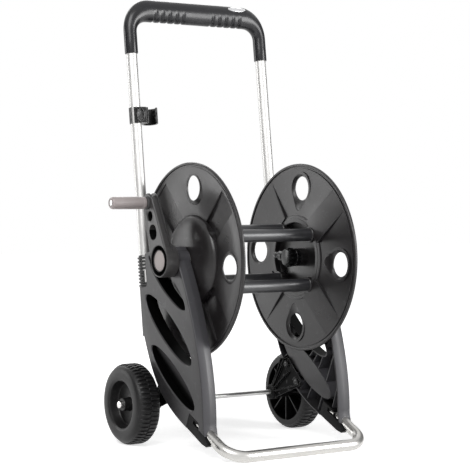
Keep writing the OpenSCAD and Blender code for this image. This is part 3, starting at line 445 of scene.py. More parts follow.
rear_ribs = 8
for i in range(1, rear_ribs + 1):
    k = int(curve_steps * i / (rear_ribs + 1))
    at, ahead = rear_curve[k], rear_curve[k + 1]
    along = Vector((ahead[0] - at[0], ahead[1] - at[1])).normalized()
    across = Vector((-along.y, along.x))
    shell_rib([tuple(p) for p in (
        Vector(at) - along - across * 2, Vector(at) + along - across * 2,
        Vector(at) + along + across * 150, Vector(at) - along + across * 150)])
for z in (260, 305, 350):
    shell_rib([(-150, z), (150, z), (150, z + 2), (-150, z + 2)])
for shape, soft in ((upper_leaf, 0), (middle_leaf, 0), (lower_leaf, 2.0)):
    leaf_wall = board("leaf wall", leaf(*shape, grow=wall), panel_in + 3, panel_out - 1, soft)
    carve(right_shell, leaf_wall, "UNION")
carve(right_shell, rod("hub boss", panel_in, panel_out, 21, 0, drum_z), "UNION")
for y, z in bracket_screws_at:
    carve(right_shell, rod("screw boss", panel_in, panel_out - 1, 5.5, y, z, 24), "UNION")
carve(right_shell, leg_rod("socket", 14, -172, collar_foot), "UNION")
carve(right_shell, leaf_cut("upper leaf", upper_leaf))
carve(right_shell, leaf_cut("middle leaf", middle_leaf))
carve(right_shell, rod("hub hole", panel_in - 1, panel_out + 1, 16, 0, drum_z))
carve(right_shell, leg_rod("tube hole", 11.1, -168, 60))
carve(right_shell, board("foot notch", foot_outline(30), panel_in - 1, panel_out + 1))

# The scoop is a third leaf, whose flat floor lies scoop_depth under the face at its
# middle and slants by scoop_tilt degrees.
scoop_depth, scoop_tilt = 10.5, 20.3
scoop = leaf_cut("scoop", lower_leaf)
block = [Matrix.Rotation(math.radians(scoop_tilt), 4, "Y") @ Vector(p) for p in (
    (0, -120, -120), (60, -120, -120), (60, 120, -120), (0, 120, -120),
    (0, -120, 120), (60, -120, 120), (60, 120, 120), (0, 120, 120))]
raked = Matrix.Rotation(math.radians(lower_leaf[4]), 4, "X")
middle = Vector((panel_out - scoop_depth, *lower_leaf[:2]))
above_floor = solid("above the floor", [tuple(raked @ p + middle) for p in block], [
    (0, 1, 2, 3), (4, 7, 6, 5), (0, 4, 5, 1), (1, 5, 6, 2), (2, 6, 7, 3), (3, 7, 4, 0)])
carve(scoop, above_floor, "INTERSECT")
carve(right_shell, scoop)
left_shell = fit_both(right_shell, "left_side_panel", black_panel,
                      ["right_panel", "left_panel"])


def sunk(name, colour, shallow, full):
    """The panel's plastic with painted shade: it turns black between two depths under the face."""
    finish = moulded(name, colour, 0.5, wear_and_highlight=0.05, shine=0.05, edge_wear_and_highlight_width=0.0002)
    tree = finish.node_tree
    skin = tree.nodes["Principled BSDF"]
    plain = skin.inputs["Base Color"].links[0].from_socket
    place = put(tree, "ShaderNodeTexCoord")
    split = put(tree, "ShaderNodeSeparateXYZ", Vector=place.outputs["Object"])
    outward = put(tree, "ShaderNodeMath", split.outputs["X"], operation="ABSOLUTE")
    depth = put(tree, "ShaderNodeMapRange", Value=outward, From_Min=(panel_out - full) / 1000,
                From_Max=(panel_out - shallow) / 1000)
    # Painted shade: black where the face lies deeper than full, the plain colour where it lies
    # shallower than shallow.
    shade = put(tree, "ShaderNodeMix", Factor=depth, A=(0.0012, 0.0012, 0.0012, 1), B=plain)
    feed(skin, Base_Color=shade)
    return finish


def within(y, z, outline):
    """True for a point inside an outline."""
    odd = False
    for (y0, z0), (y1, z1) in zip(outline, outline[1:] + outline[:1]):
        if (z0 > z) != (z1 > z) and y < y0 + (z - z0) * (y1 - y0) / (z1 - z0):
            odd = not odd
    return odd


# Outlines of the openings whose inner faces get painted shade.
painted_shade_outlines = [leaf(*shape, grow=0.6) for shape in (upper_leaf, middle_leaf, lower_leaf)]
# Painted shade on the leaf walls, black from 3 mm under the face. Painted light and shade on the
# scoop's floor: paler grey where shallow, turning black where deep.
leaf_wall_painted_shade = sunk("painted shade on the leaf walls", (0.027, 0.026, 0.0275), 1.2, 3)
scoop_painted_light_and_shade = sunk("painted light and shade in the scoop", (0.055, 0.053, 0.056), 4, 12)
# Painted sheen: faces that face the front get a paler, bluish charcoal that stands in for a lamp's
# reflection.
front_painted_sheen = moulded("charcoal with painted front sheen", (0.058, 0.057, 0.0625), 0.34, shine=0.36)
for shell in (right_shell, left_shell):
    for extra in (leaf_wall_painted_shade, scoop_painted_light_and_shade, front_painted_sheen):
        shell.data.materials.append(extra)
    for face in shell.data.polygons:
        x, y, z = face.center * 1000
        outward = math.copysign(1, x) * face.normal.x
        deep = abs(x) < panel_out - 1.2 and outward > -0.5
        # Faces inside an opening get painted shade: outward-facing ones get the scoop's, the others
        # get the leaf walls'.
        if deep and any(within(y, z, place) for place in painted_shade_outlines):
            face.material_index = 2 if outward > 0.5 else 1
        # Faces that face the front get the painted sheen.
        elif face.normal.y < -0.55 and outward > -0.3:
            face.material_index = 3


# ---- tube collars ----
# A ribbed black collar stands on each panel's shoulder and guides the handle tube. A slot
# and a row of small windows in its front show the tube inside.
def upright(name, profile, x, v, steps=64):
    """A closed profile of (radius, w) turned about an upright line through x, v."""
    return lathed(name, profile, steps, lambda u, across, w: (x + u, v + across, w))


def leg_place(made):
    """Puts a piece made upright in the handle leg's frame onto the trolley."""
    return moved(made, (0, leg_y, leg_z), -leg_rake)


collar_black = moulded("collar plastic", (0.006, 0.006, 0.006), 0.34, pale=(0.5, 0.5, 0.5),
                       wear_and_highlight=0.45, edge_wear_and_highlight_width=0.0016)
collar_ribs, ribbed_height = 9, 62
collar_skin = [(11.1, collar_foot)]
for i in range(collar_ribs):
    w = collar_foot + i * ribbed_height / collar_ribs
    collar_skin += [(14.4, w), (15, w + 0.6), (15, w + 3.2), (14.4, w + 3.6), (12.5, w + 3.8),
                    (12.5, w + 6.8)]
collar_skin += [(13.2, -11.4), (11.1, -11.4)]
right_collar = upright("right_tube_collar_ribbed", collar_skin, leg_x, 0)


def collar_window(half, low, high, depth, turn):
    """Cuts a window into the collar from depth outwards, turned round the tube."""
    cutter = board("window", [(-half, low), (half, low), (half, high), (-half, high)], depth, 20)
    carve(right_collar, moved(cutter, (leg_x, 0, collar_foot), turn, "Z"))


collar_window(2.2, 8, 34, 0, -57)
for i in range(4, collar_ribs):
    low = i * ribbed_height / collar_ribs + 4.1
    collar_window(3.8, low, low + 2.3, 8, -45)
fit_both(leg_place(right_collar), "left_tube_collar_ribbed", collar_black,
         ["right_tube_collar", "left_tube_collar"])

# ---- drum flanges ----
# Two round moulded flanges, each a shallow cone with a domed middle, four sunk ramps, four
# funnel-shaped holes and a glossy bead. The left one is driven by the crank.
black_drum = moulded("drum plastic", (0.0130, 0.0116, 0.0122), 0.31, shine=0.42)
hole_reach, hole_radius, hole_angles = 140, 24, (0, 90, 180, 270)
tube_reach, tube_angles = 71, (45, 135, 225, 315)
ramp_half, drum_turn = 27, 4
dome = [(r, 124 + 17 * math.sqrt(1 - (r / 87) ** 4))
        for r in (86.8, 86.2, 85.2, 83.6, 81.2, 78, 73.5, 68, 61, 53, 44, 34, 22)]
flange_profile = [
    (13.05, 122), (18, 122), (18, 138), (48, 137.2), (60, 135), (67, 132), (70.5, 128.5),
    (70.5, 118), (71.5, 117), (79.0, 117), (79.6, 118), (84.4, 118), (85.2, 119.4), (86, 119.6),
    (86, 121), (92, 121.4), (180.4, 126.8), (181.1, 127.2), (181.4, 128.9), (184.2, 129.0),
    (184.6, 126.9), (185.6, 126.2), (187, 126), (188.8, 126.5), (189.7, 127.6), (190, 129),
    (189.8, 131), (189, 132.3), (187.6, 133), (186, 132.8), (184.9, 131.9), (184.2, 130.0),
    (181.4, 129.9), (181.0, 130.8), (180.2, 131.0), (150, 128.6), (92, 124.6), (88.6, 124.3),
    (87.6, 124.1), (87, 123.6), *dome, (13.05, 141)]
# Each hole's boss and funnel in steps of x and growth, and each ramp in steps outwards.
boss_steps = ((123.5, 10.0), (126.2, 9.0), (128.0, 6.8), (129.2, 4.6), (130.0, 3.0), (130.4, 1.6))
funnel_steps = ((118, 6.6, 18), (122.8, 6.0, 15), (124.2, 4.0, 6), (126.5, 1.8, 1.5),
                (128.2, 0.2, 0), (134, 0, 0))
ramp_line = ((80, 115.2), (130, 120.6), (176, 126.6))
ramp_wall_line = ((80, 115.4, 124.0), (176, 126.6, 129.2))
tube_socket = [(0, 113), (14.6, 113), (15.5, 113.9), (15.5, 121), (14.2, 127.2), (0, 127.2)]


def out_at(r, t, degrees):
    """The point r out from the drum's axis and t to the side, on a line at that angle."""
    c, s = math.cos(math.radians(degrees)), math.sin(math.radians(degrees))
    return (r * c - t * s, r * s + t * c)


def teardrop(y, z, radius, tip):
    """A round outline with one side drawn out towards the drum's middle."""
    inward = math.atan2(-z, -y)
    out = []
    for a in around(64):
        off = (a - inward + math.pi) % (2 * math.pi) - math.pi
        r = radius + tip * math.exp(-(off / 0.42) ** 2)
        out.append((y + r * math.cos(a), z + r * math.sin(a)))
    return out


def ramp_bar(sections, t0, t1, degrees):
    """A bar that runs outwards from t0 to t1 beside its line, lofted over (r, low, high)."""
    return loft("ramp", [
        [(x, *out_at(r, t, degrees)) for x, t in ((low, t0), (low, t1), (high, t1), (high, t0))]
        for r, low, high in sections])


def drum_flange(name):
    """The flange with bosses round its holes, ramps let into its cone, and tube sockets."""
    made = turned(name, flange_profile, 0, 0, 144)
    half = ramp_half
    for a in tube_angles:
        gap = [out_at(r, t, a) for r, t in ((84.6, -half), (174, -half), (174, half), (84.6, half))]
        carve(made, board("ramp gap", gap, 110, 134))
    for a in hole_angles:
        centre = out_at(hole_reach, 0, a)
        carve(made, stacked("hole boss", [
            (x, teardrop(*centre, hole_radius + grow, 0)) for x, grow in boss_steps]), "UNION")
    for a in tube_angles:
        floor_line = [(r, low, low + 2.6) for r, low in ramp_line]
        carve(made, ramp_bar(floor_line, -half, half, a), "UNION")
        for t0, t1 in ((-28, -25.6), (25.6, 28)):
            carve(made, ramp_bar(ramp_wall_line, t0, t1, a), "UNION")
        socket = turned("tube socket", tube_socket, *out_at(tube_reach, 0, a), 40)
        carve(made, socket, "UNION")
    for a in tube_angles:
        carve(made, rod("tube hole", 110, 125, 12.55, *out_at(tube_reach, 0, a), 40))
    for a in hole_angles:
        centre = out_at(hole_reach, 0, a)
        carve(made, stacked("funnel", [
            (x, teardrop(*centre, hole_radius + grow, tip)) for x, grow, tip in funnel_steps]))
    return made


def drum_place(made):
    """Lifts a piece made about the X axis to the drum's axis, turned as the drum rests."""
    return moved(made, (0, 0, drum_z), drum_turn)


right_flange = drum_place(drum_flange("right_drum_flange"))
fit_both(right_flange, "left_drum_flange", black_drum,
         ["right_flange", "left_flange"], ("drum", "drum"), 26)

# ---- core tubes ----
# Four plain steel tubes with a shiny black coat carry the hose. Their ends plug into the
# flanges' sockets.
black_coat = moulded("black tube coat", (0.022, 0.022, 0.025), 0.33, wear_and_highlight=0.12, grain=900.0,
                     relief=0.00001, shine=0.8)
for number, a in enumerate(tube_angles, 1):
    core = rod(f"drum_core_tube_{number}", -124.8, 124.8, 12.5, *out_at(tube_reach, 0, a), 64)
    fit(drum_place(core), black_coat, "drum", [f"core_tube_{number}"])

# ---- crank ----
# A moulded arm with a big round hub, a small and a long lightening hole and a raised knuckle, with
# painted shade in the hub's ring groove and on the holes' walls. A pale disc closes the hub, and a
# grey sleeve turns on the steel pin.
crank_plastic = moulded("crank plastic", (0.050, 0.048, 0.0483), 0.36, shine=0.36)
# Painted shade: near-black for the crank's recesses and holes.
crank_painted_shade = moulded("painted shade inside the crank", (0.003, 0.003, 0.003), 0.5, wear_and_highlight=0.05,
                     shine=0.05)
throw, big, small, crank_turn = 119.5, 32, 19, 68
arm_back, arm_face = 183.5, 201.5
lean = math.acos((big - small) / throw)
arm_outline = [(throw + small * math.cos(-lean + 2 * lean * i / 24),
                small * math.sin(-lean + 2 * lean * i / 24)) for i in range(25)]
arm_outline += [(big * math.cos(lean + (2 * math.pi - 2 * lean) * i / 48),
                 big * math.sin(lean + (2 * math.pi - 2 * lean) * i / 48)) for i in range(49)]
hub_profile = [
    (0, 141), (13, 141), (13, 173.5), (30.5, 173.5), (32, 175), (32, 199.4), (31.5, 200.9),
    (30.4, 201.5), (29.6, 201.2), (29.2, 200.3), (28.4, 186), (21.8, 186), (21.2, 200.6),
    (20.6, 201.0), (20.2, 200.4), (20.2, 196.6), (0, 196.6)]
arm = board("crank_arm_and_hub", arm_outline, arm_back, arm_face, 2.0, 3.5)
channel = board("channel outside", inset(arm_outline, -4), 187, 198)
carve(channel, board("channel inside", inset(arm_outline, 4.5), 186, 199))
carve(arm, channel)
carve(arm, rod("hub seat", 160, 230, 31, 0, 0, 96))
carve(arm, turned("hub", hub_profile, 0, 0, 96), "UNION")
knuckle = turned("knuckle", [(0, 192), (13, 192), (13, 204), (12.2, 205.6), (10.5, 206.5),
                             (0, 206.5)], throw, 0, 48)
carve(arm, knuckle, "UNION")
round_hole_y = 0.77 * throw
carve(arm, turned("round hole", [
    (0, 170), (10.7, 170), (10.7, 183.4), (9.5, 184.6), (9.5, 199.6), (10.1, 200.9),
    (11.5, 201.6), (11.5, 210), (0, 210)], round_hole_y, 0, 64))
for share in (0.47, 0.51):
    carve(arm, rod("long hole", 170, 210, 13.2, share * throw, 0, 64))


def crank_place(made):
    """Turns a piece made along +X to the left side of the drum, with the arm at its angle."""
    return flipped(moved(made, (0, 0, drum_z), crank_turn))


# Faces in the hub's ring groove and on the holes' walls get the painted shade.
painted_shade_faces = []
for face in arm.data.polygons:
    x, y, z = face.center * 1000
    recess = 20.5 < math.hypot(y, z) < 29.5
    hole = math.hypot(y - round_hole_y, z) < 10 or math.hypot(y - 0.49 * throw, z) < 14.6
    if arm_back < x < arm_face - 2 and (recess or hole):
        painted_shade_faces.append(face.index)
fit(crank_place(arm), crank_plastic, "drum", ["crank_arm"])
arm.data.materials.append(crank_painted_shade)
for number in painted_shade_faces:
    arm.data.polygons[number].material_index = 1
pale_disc = moulded("pale disc plastic", (0.34, 0.30, 0.29), 0.42, pale=(0.5, 0.46, 0.45),
                    wear_and_highlight=0.5)
disc = turned("crank_hub_disc", [
    (0, 196.6), (19.9, 196.6), (19.9, 199.2), (19.2, 199.9), (16.0, 200.2), (15.4, 199.7),
    (14.8, 200.2), (8, 200.4), (0, 200.5)], 0, 0, 72)
fit(crank_place(disc), pale_disc, "drum", ["crank_cap"])
grey_sleeve = moulded("warm grey sleeve", (0.37, 0.325, 0.32), 0.34, pale=(0.55, 0.5, 0.49),
                      shine=0.6)
sleeve = turned("crank_grip_sleeve", [
    (4.05, 206.9), (10.8, 206.9), (11.6, 207.4), (12, 208.4), (12, 212), (11.4, 212.6),
    (11.4, 213.4), (12, 214), (12, 274.5), (11.7, 277.6), (10.9, 279.6), (9.4, 281.2),
    (7.6, 281.9), (6.5, 281.6), (6.5, 279.5), (4.05, 279.5)], throw, 0, 64)
fit(crank_place(sleeve), grey_sleeve, "crank_grip", ["crank_grip"])


# ---- wheels ----
# Blow-moulded wheels with a wide smooth face, a deep dish round the hub, and lugs that
# wrap over both shoulders. Eight webs stiffen the open inner side.
def ring_tree():
    """Geometry Nodes that set copies of one part at equal turns about a line along X."""
    tree = bpy.data.node_groups.new("ring of copies", "GeometryNodeTree")
    for name, kind in (("Part", "Object"), ("Copies", "Int"), ("Turn", "Float"),
                       ("Centre", "Vector"), ("Finish", "Material")):
        tree.interface.new_socket(name=name, in_out="INPUT", socket_type="NodeSocket" + kind)
    tree.interface.new_socket(name="Geometry", in_out="OUTPUT", socket_type="NodeSocketGeometry")
    given = put(tree, "NodeGroupInput").outputs
    line = put(tree, "GeometryNodeMeshLine", Count=given["Copies"], Offset=(0, 0, 0))
    part = put(tree, "GeometryNodeObjectInfo", Object=given["Part"])
    number = put(tree, "GeometryNodeInputIndex")
    share = put(tree, "ShaderNodeMath", number, given["Copies"], operation="DIVIDE")
    angle = put(tree, "ShaderNodeMath", share, 2 * math.pi, given["Turn"],
                operation="MULTIPLY_ADD")
    spin = put(tree, "ShaderNodeCombineXYZ", X=angle)
    place = put(tree, "GeometryNodeInstanceOnPoints", Points=line,
                Instance=part.outputs["Geometry"], Rotation=spin)
    move = put(tree, "GeometryNodeTransform", Geometry=place, Translation=given["Centre"])
    real = put(tree, "GeometryNodeRealizeInstances", Geometry=move)
    coat = put(tree, "GeometryNodeSetMaterial", Geometry=real, Material=given["Finish"])
    put(tree, "NodeGroupOutput", Geometry=coat)
    return tree


def ringed(name, part, count, finish, turn=0, centre=(0, 0, 0)):
    """Runs the ring of copies, turned by degrees, and makes its result one plain mesh."""
    holder = bpy.data.objects.new(name, bpy.data.meshes.new(name))
    scene.collection.objects.link(holder)
    step = holder.modifiers.new("copies", "NODES")
    step.node_group = ring
    values = {"Part": part, "Copies": count, "Turn": math.radians(turn), "Finish": finish,
              "Centre": [v / 1000 for v in centre]}
    for socket in ring.interface.items_tree:
        if socket.in_out == "INPUT":
            step[socket.identifier] = values[socket.name]
    bpy.context.view_layer.update()
    seen = holder.evaluated_get(bpy.context.evaluated_depsgraph_get())
    made = bpy.data.meshes.new_from_object(seen)
    holder.modifiers.clear()
    holder.data = made
    bpy.data.objects.remove(part)
    return holder


def gathered(made, other):
    """Puts the mesh of another piece into the first one."""
    work = bmesh.new()
    work.from_mesh(made.data)
    work.from_mesh(other.data)
    bpy.data.objects.remove(other)
    work.to_mesh(made.data)
    work.free()


black_tyre = moulded("black tyre plastic", (0.0075, 0.0072, 0.0075), 0.40, wear_and_highlight=0.12, shine=0.28)
ring = ring_tree()
axle_y, axle_z = 115, 80
tyre_profile = [
    (62, 173.5), (68, 173.5), (72.5, 174.4), (75.5, 177.5), (77, 183), (77, 212), (75.9, 216.4),
    (73.2, 219.9), (69, 222.3), (63.5, 223.4), (54, 223.4), (50, 222.8), (47.4, 220.9),
    (46.2, 217.5), (45.4, 205), (43.6, 202.2), (40, 201.5), (18, 201.5), (14.6, 202.2),
    (13.2, 204.4), (12.8, 218.3), (12, 219.5), (5.1, 219.5), (5.1, 156), (12, 156), (13, 157),
    (13, 198), (44, 198), (49.5, 201), (50.5, 216), (55, 219), (62, 219), (68, 215.5),
    (72.4, 209), (72.4, 184), (69, 179), (62, 177)]
wheel = turned("right_wheel_and_tyre", tyre_profile, axle_y, axle_z, 120)
lug_foot, lug_top, lugs_round, lug_start = 72.5, 79.97, 52, 6.85
for first, last, turn in ((197.6, 219.6, 3.46), (196.4, 174.8, 0)):
    side = 1 if last > first else -1
    block = []
    for x, top, wide in (
            (first, 79.2, 2.5), (first + side * 0.8, lug_top, 2.7),
            (first + side * 11, lug_top, 2.7), (first + side * 15.2, 78.9, 2.6),
            (first + side * 18.2, 76.6, 2.5), (last, 73.4, 2.3)):
        block.append([(x, -wide, lug_foot), (x, wide, lug_foot), (x, wide - 0.4, top - 0.7),
                      (x, wide - 1.1, top), (x, -wide + 1.1, top), (x, -wide + 0.4, top - 0.7)])
    gathered(wheel, ringed("lugs", loft("lug", block), lugs_round, black_tyre,
                           lug_start + turn - 90, (0, axle_y, axle_z)))
web = board("web", [(-1.25, 12), (1.25, 12), (1.25, 72.6), (-1.25, 72.6)], 176.5, 198.5)
gathered(wheel, ringed("webs", web, 8, black_tyre, -90, (0, axle_y, axle_z)))
fit_both(wheel, "left_wheel_and_tyre", black_tyre,
         ["right_wheel", "left_wheel"], ("right_wheel", "left_wheel"))


# ---- axle and caps ----
# A drawn steel rod runs through both wheels and their brackets. A bright pressed cap
# closes each end.
def metal(name, colour, rough, streak, relief=0.00002, dull=0.86):
    """Drawn or pressed metal: faint streaks, uneven gloss and a few dull spots."""
    finish, tree, skin = blank(name)
    place = put(tree, "ShaderNodeTexCoord").outputs["Object"]
    stretch = put(tree, "ShaderNodeMapping", Vector=place, Scale=streak)
    lines = put(tree, "ShaderNodeTexNoise", Vector=stretch, Scale=4, Detail=3)
    bump = put(tree, "ShaderNodeBump", Strength=0.25, Distance=relief, Height=lines)
    cloud = put(tree, "ShaderNodeTexNoise", Vector=place, Scale=18, Detail=6)
    gloss = put(tree, "ShaderNodeMapRange", Value=cloud, From_Min=0.35, From_Max=0.7,
                To_Min=rough, To_Max=rough + 0.12)
    worn = (*[c * dull for c in colour], 1)
    tint = put(tree, "ShaderNodeMix", Factor=lines, A=(*colour, 1), B=worn)
    feed(skin, Base_Color=tint, Roughness=gloss, Normal=bump, Metallic=1)
    return finish


steel = metal("drawn steel", (0.62, 0.62, 0.61), 0.28, (5.0, 260.0, 260.0))
bright_cap = metal("pressed bright cap", (0.86, 0.84, 0.83), 0.16, (40.0, 40.0, 40.0))
rear_axle = rod("rear_axle_rod", -224.9, 224.9, 5, axle_y, axle_z, 48)
fit(rear_axle, steel, "frame", ["axle"])
cap = turned("axle_end_caps", [
    (0, 225), (5.05, 225), (5.05, 219.9), (7.5, 219.9), (7.5, 224.6), (6.6, 226.4), (4.4, 227.2),
    (0, 227.4)], axle_y, axle_z, 48)
gathered(cap, mirrored(cap, "other cap"))
fit(cap, bright_cap, "frame", ["axle_caps"])

# ---- axle brackets ----
# A black bracket is screwed to the inside of each panel's rear foot. A thin plate and
# five ribs fan out from the boss that holds the axle rod.
# Painted shade and highlight: the near-black colour stands for the shade the bracket sits in, and
# the broad pale edges stand for light on its rib crests.
bracket_painted_shade_and_highlight = moulded("bracket plastic with painted shade and highlights", (0.0022, 0.0022, 0.0023), 0.5,
                        pale=(0.42, 0.42, 0.42), wear_and_highlight=0.5, shine=0.05)
plate_outline = [(axle_y + y, axle_z + z) for y, z in (
    (-4, -14), (-101, 23), (-101, 38), (-59, 76), (-39, 76), (4, 14))]
plate = board("right_axle_bracket", plate_outline, 140.9, panel_in)
for y, z in ((-37, 74), (-63, 48), (-85, 22), (-99, 26), (-50, 76)):
    long = math.hypot(y, z)
    u, v = y / long, z / long
    rib_outline = [(axle_y + u * a - v * b, axle_z + v * a + u * b)
                   for a, b in ((12, -1.3), (long, -1.3), (long, 1.3), (12, 1.3))]
    carve(plate, board("rib", rib_outline, 136.2, 141.2, 0.5), "UNION")
boss = turned("boss", [
    (5.02, 135.5), (13.6, 135.5), (15.0, 136.4), (15.5, 138), (15.5, 155.5), (5.02, 155.5)],
    axle_y, axle_z, 64)
carve(plate, rod("boss seat", 130, 160, 14, axle_y, axle_z, 64))
carve(plate, boss, "UNION")
screw_steel = metal("blackened screw", (0.10, 0.10, 0.10), 0.35, (60.0, 60.0, 60.0))
screws = []
for y, z in bracket_screws_at:
    pad = [(2.6, 136.6), (6.6, 136.6), (7.2, 137.2), (7.2, 141.5), (2.6, 141.5)]
    carve(plate, turned("pad", pad, y, z, 40), "UNION")
    carve(plate, rod("screw hole", 130, 150, 2.55, y, z, 32))
    screws.append(turned("bracket_screws_of_both_sides", [
        (0, 151), (2.5, 151), (2.5, 138.5), (4.9, 138.5), (5, 137.6), (4.4, 136.4), (2.6, 135.6),
        (2.1, 135.5), (2.0, 136.9), (0, 136.9)], y, z, 32))
fit_both(plate, "left_axle_bracket", bracket_painted_shade_and_highlight,
         ["right_axle_bracket", "left_axle_bracket"])
gathered(screws[0], screws[1])
gathered(screws[0], mirrored(screws[0], "other screws"))
fit(screws[0], screw_steel, "frame", ["bracket_screws"])

# ---- foot ----
# A bright tube bent to a U rests on the floor in front. Its legs end in the panels' toes,
# and a black cap clips over each one.
tube_radius = 11
bright_tube = metal("plated foot tube", (0.58, 0.57, 0.55), 0.24, (3.0, 60.0, 60.0), 0.000003)
black_cap = moulded("black cap plastic", (0.004, 0.004, 0.0042), 0.42, wear_and_highlight=0.08, shine=0.1)


def bent_tube(name, bend, leg_end, top):
    """A U of tube as a closed skin, legs leg_x out, with its bar at top and bends that wide."""
    steps = 14
    quarter = [math.pi / 2 * i / steps for i in range(steps + 1)]
    line = [((-leg_x, leg_end), (1, 0))]
    for a in quarter:
        c, s = math.cos(a), math.sin(a)
        line.append(((-leg_x + bend - bend * c, top - bend + bend * s), (c, -s)))
    for a in reversed(quarter):
        c, s = math.cos(a), math.sin(a)
        line.append(((leg_x - bend + bend * c, top - bend + bend * s), (-c, -s)))
    line.append(((leg_x, leg_end), (-1, 0)))
    rings = []
    for (x, w), (nx, nw) in line:
        rings.append([(x + tube_radius * math.cos(b) * nx, tube_radius * math.sin(b),
                       w + tube_radius * math.cos(b) * nw) for b in around(48)])
    return loft(name, rings)


foot = moved(bent_tube("bent_foot_tube", 40, -137, 0), (0, foot_y, foot_z), 90 + foot_fall)
fit(foot, bright_tube, "frame", ["foot_tube"])
toe_cap = board("right_toe_cap", foot_outline(0), 142.6, 172.4, 1.2, 1.8)
toe_window = [foot_point(s, t) for s, t in ((100, 3), (120, 3), (120, 11), (100, 11))]
carve(toe_cap, board("window", toe_window, 140, 176))
fit_both(toe_cap, "left_toe_cap", black_cap, ["right_foot_cap", "left_foot_cap"])

# ---- bushes, inlet and seal ----
# A pale nylon bush in each panel carries the drum. The right one holds the fixed inlet:
# barrel, flange, hexagon and a nipple for the click-on coupling, with a rubber ring.
pale_nylon = moulded("pale nylon", (0.76, 0.73, 0.64), 0.40, pale=(0.85, 0.83, 0.77), wear_and_highlight=0.1)
bearing = turned("right_bush", [
    (13.05, 141.2), (19.2, 141.2), (20, 142), (20, 142.5), (15.95, 142.5), (15.95, 171.9),
    (15.4, 172.5), (13.05, 172.5)], 0, drum_z, 64)
fit_both(bearing, "left_bush", pale_nylon, ["right_bush", "left_bush"])
inlet_black = moulded("inlet plastic", (0.0045, 0.0045, 0.005), 0.24, wear_and_highlight=0.1, shine=0.3)
inlet = turned("water_inlet_spigot", [
    (5.5, 116), (12.4, 116), (13, 116.8), (13, 118), (11.2, 118.05), (11.2, 119.95), (13, 120),
    (13, 172.5), (19.4, 172.5), (20, 173.2), (20, 175.6), (19.3, 176.5), (12, 176.5), (12, 185.5),
    (9.4, 185.5), (10, 186), (10, 187), (9.4, 187.5), (8.5, 188.5), (8.5, 200.5), (8.2, 201.1),
    (6.5, 202.5), (6.5, 206.5), (8.2, 207.2), (8.5, 207.7), (8.3, 209.0), (7.6, 211.1),
    (7.2, 211.5), (5.9, 211.5), (5.5, 211.1)], 0, drum_z, 72)
hexagon = loft("hexagon", [
    [(x, size * math.cos(a), drum_z + size * math.sin(a)) for a in around(6)]
    for x, size in ((176.3, 15), (184.6, 15), (185.5, 14))])
carve(hexagon, rod("hexagon bore", 170, 190, 9, 0, drum_z, 72))
carve(inlet, hexagon, "UNION")
fit(inlet, inlet_black, "frame", ["inlet_spigot"])
ring_rubber = moulded("seal rubber", (0.012, 0.012, 0.013), 0.55, shine=0.25)
seal = turned("inlet_seal_ring", [(12.1 + 0.88 * math.cos(a), 119 + 0.88 * math.sin(a))
                                  for a in around(16)], 0, drum_z, 72)
fit(seal, ring_rubber, "frame", ["spigot_seal"])

# ---- swivel elbow and hose tail ----
# Inside the right flange's dome the elbow turns on the inlet's barrel with the drum. Its
# barbed tail takes the hose's inner end.
elbow = turned("swivel_elbow", [
    (0, 95), (15, 95), (17, 96), (17.2, 98), (17.2, 112), (18, 113), (18, 121.9), (13.1, 121.9),
    (13.1, 116), (7.5, 115.5), (7.5, 99), (0, 99)], 0, 0, 72)
finger_rib = board("finger rib", [
    (16, -1.5), (18.6, -1.5), (19.15, -0.9), (19.15, 0.9), (18.6, 1.5), (16, 1.5)],
    98, 112, 0.8, 0.8)
carve(elbow, ringed("finger ribs", finger_rib, 12, inlet_black), "UNION")


def along_y(made):
    """Turns a piece made along X so that it runs along the drum's Y, from the elbow."""
    return moved(made, (108, 0, 0), 90, "Z")


branch = turned("branch", [(0, 0), (8.5, 0), (8.5, 21), (9.2, 21.6), (9.2, 22), (0, 22)], 0, 0, 48)
carve(elbow, along_y(branch), "UNION")
carve(elbow, along_y(rod("branch bore", 10, 30, 4.5, 0, 0, 40)))
fit(drum_place(elbow), inlet_black, "drum", ["swivel_elbow"])
tail = along_y(turned("barbed_hose_tail", [
    (4.5, 22), (10.2, 22), (11, 22.8), (11, 33), (10.2, 34), (6.5, 35), (6.5, 39.6), (7.4, 40.4),
    (7.45, 41), (6.5, 45.6), (7.4, 46.4), (7.45, 47), (6.5, 51.6), (5.7, 55.6), (5.2, 56),
    (4.5, 56)], 0, 0, 64))
fit(drum_place(tail), inlet_black, "drum", ["hose_tail"])

# ---- crank bolt and grip pin ----
# A steel bolt holds the crank's square shaft to the left flange. The grip turns on a
# shouldered steel pin that is riveted into the arm.
bolt = turned("crank_bolt", [
    (0, 117), (6.8, 117), (7.5, 117.7), (7.5, 121.4), (7.0, 121.95), (2.92, 121.95),
    (2.92, 144.6), (2.4, 145), (0, 145)], 0, 0, 48)
fit(crank_place(bolt), steel, "drum", ["crank_bolt"])
pin = turned("grip_pin", [
    (0, 187.6), (3.95, 187.6), (3.95, 279.9), (5.4, 279.9), (6.0, 280.4), (5.7, 281.0),
    (4.6, 281.3), (0, 281.4)], throw, 0, 48)
fit(crank_place(pin), steel, "drum", ["crank_pin"])

# ---- handle ----
# The telescopic handle: bright tube bent to a U, with a soft grip moulded round its top.
# The grip swells from a sleeve on each leg to a deep bar with grooves for the fingers.
bright_leg = metal("bright handle tube", (0.60, 0.595, 0.585), 0.40, (60.0, 60.0, 3.0),
                   0.000002, 0.95)
handle_bend, handle_top = 45, 490
tube = leg_place(bent_tube("bent_handle_tube", handle_bend, -90, handle_top))
fit(tube, bright_leg, "handle", ["handle_tube"])
sleeve_radius, bar_extra_height, bar_extra_depth = 13.5, 9.4, 3.3
groove_depth, groove_half, grooves_at = 2.8, 5, (36, 52, 69, 86, 102)


def grip_groove(x):
    """How deep the finger grooves are cut at x."""
    return sum(groove_depth * (1 + math.cos(math.pi * (abs(x) - g) / groove_half)) / 2
               for g in grooves_at if abs(abs(x) - g) < groove_half)


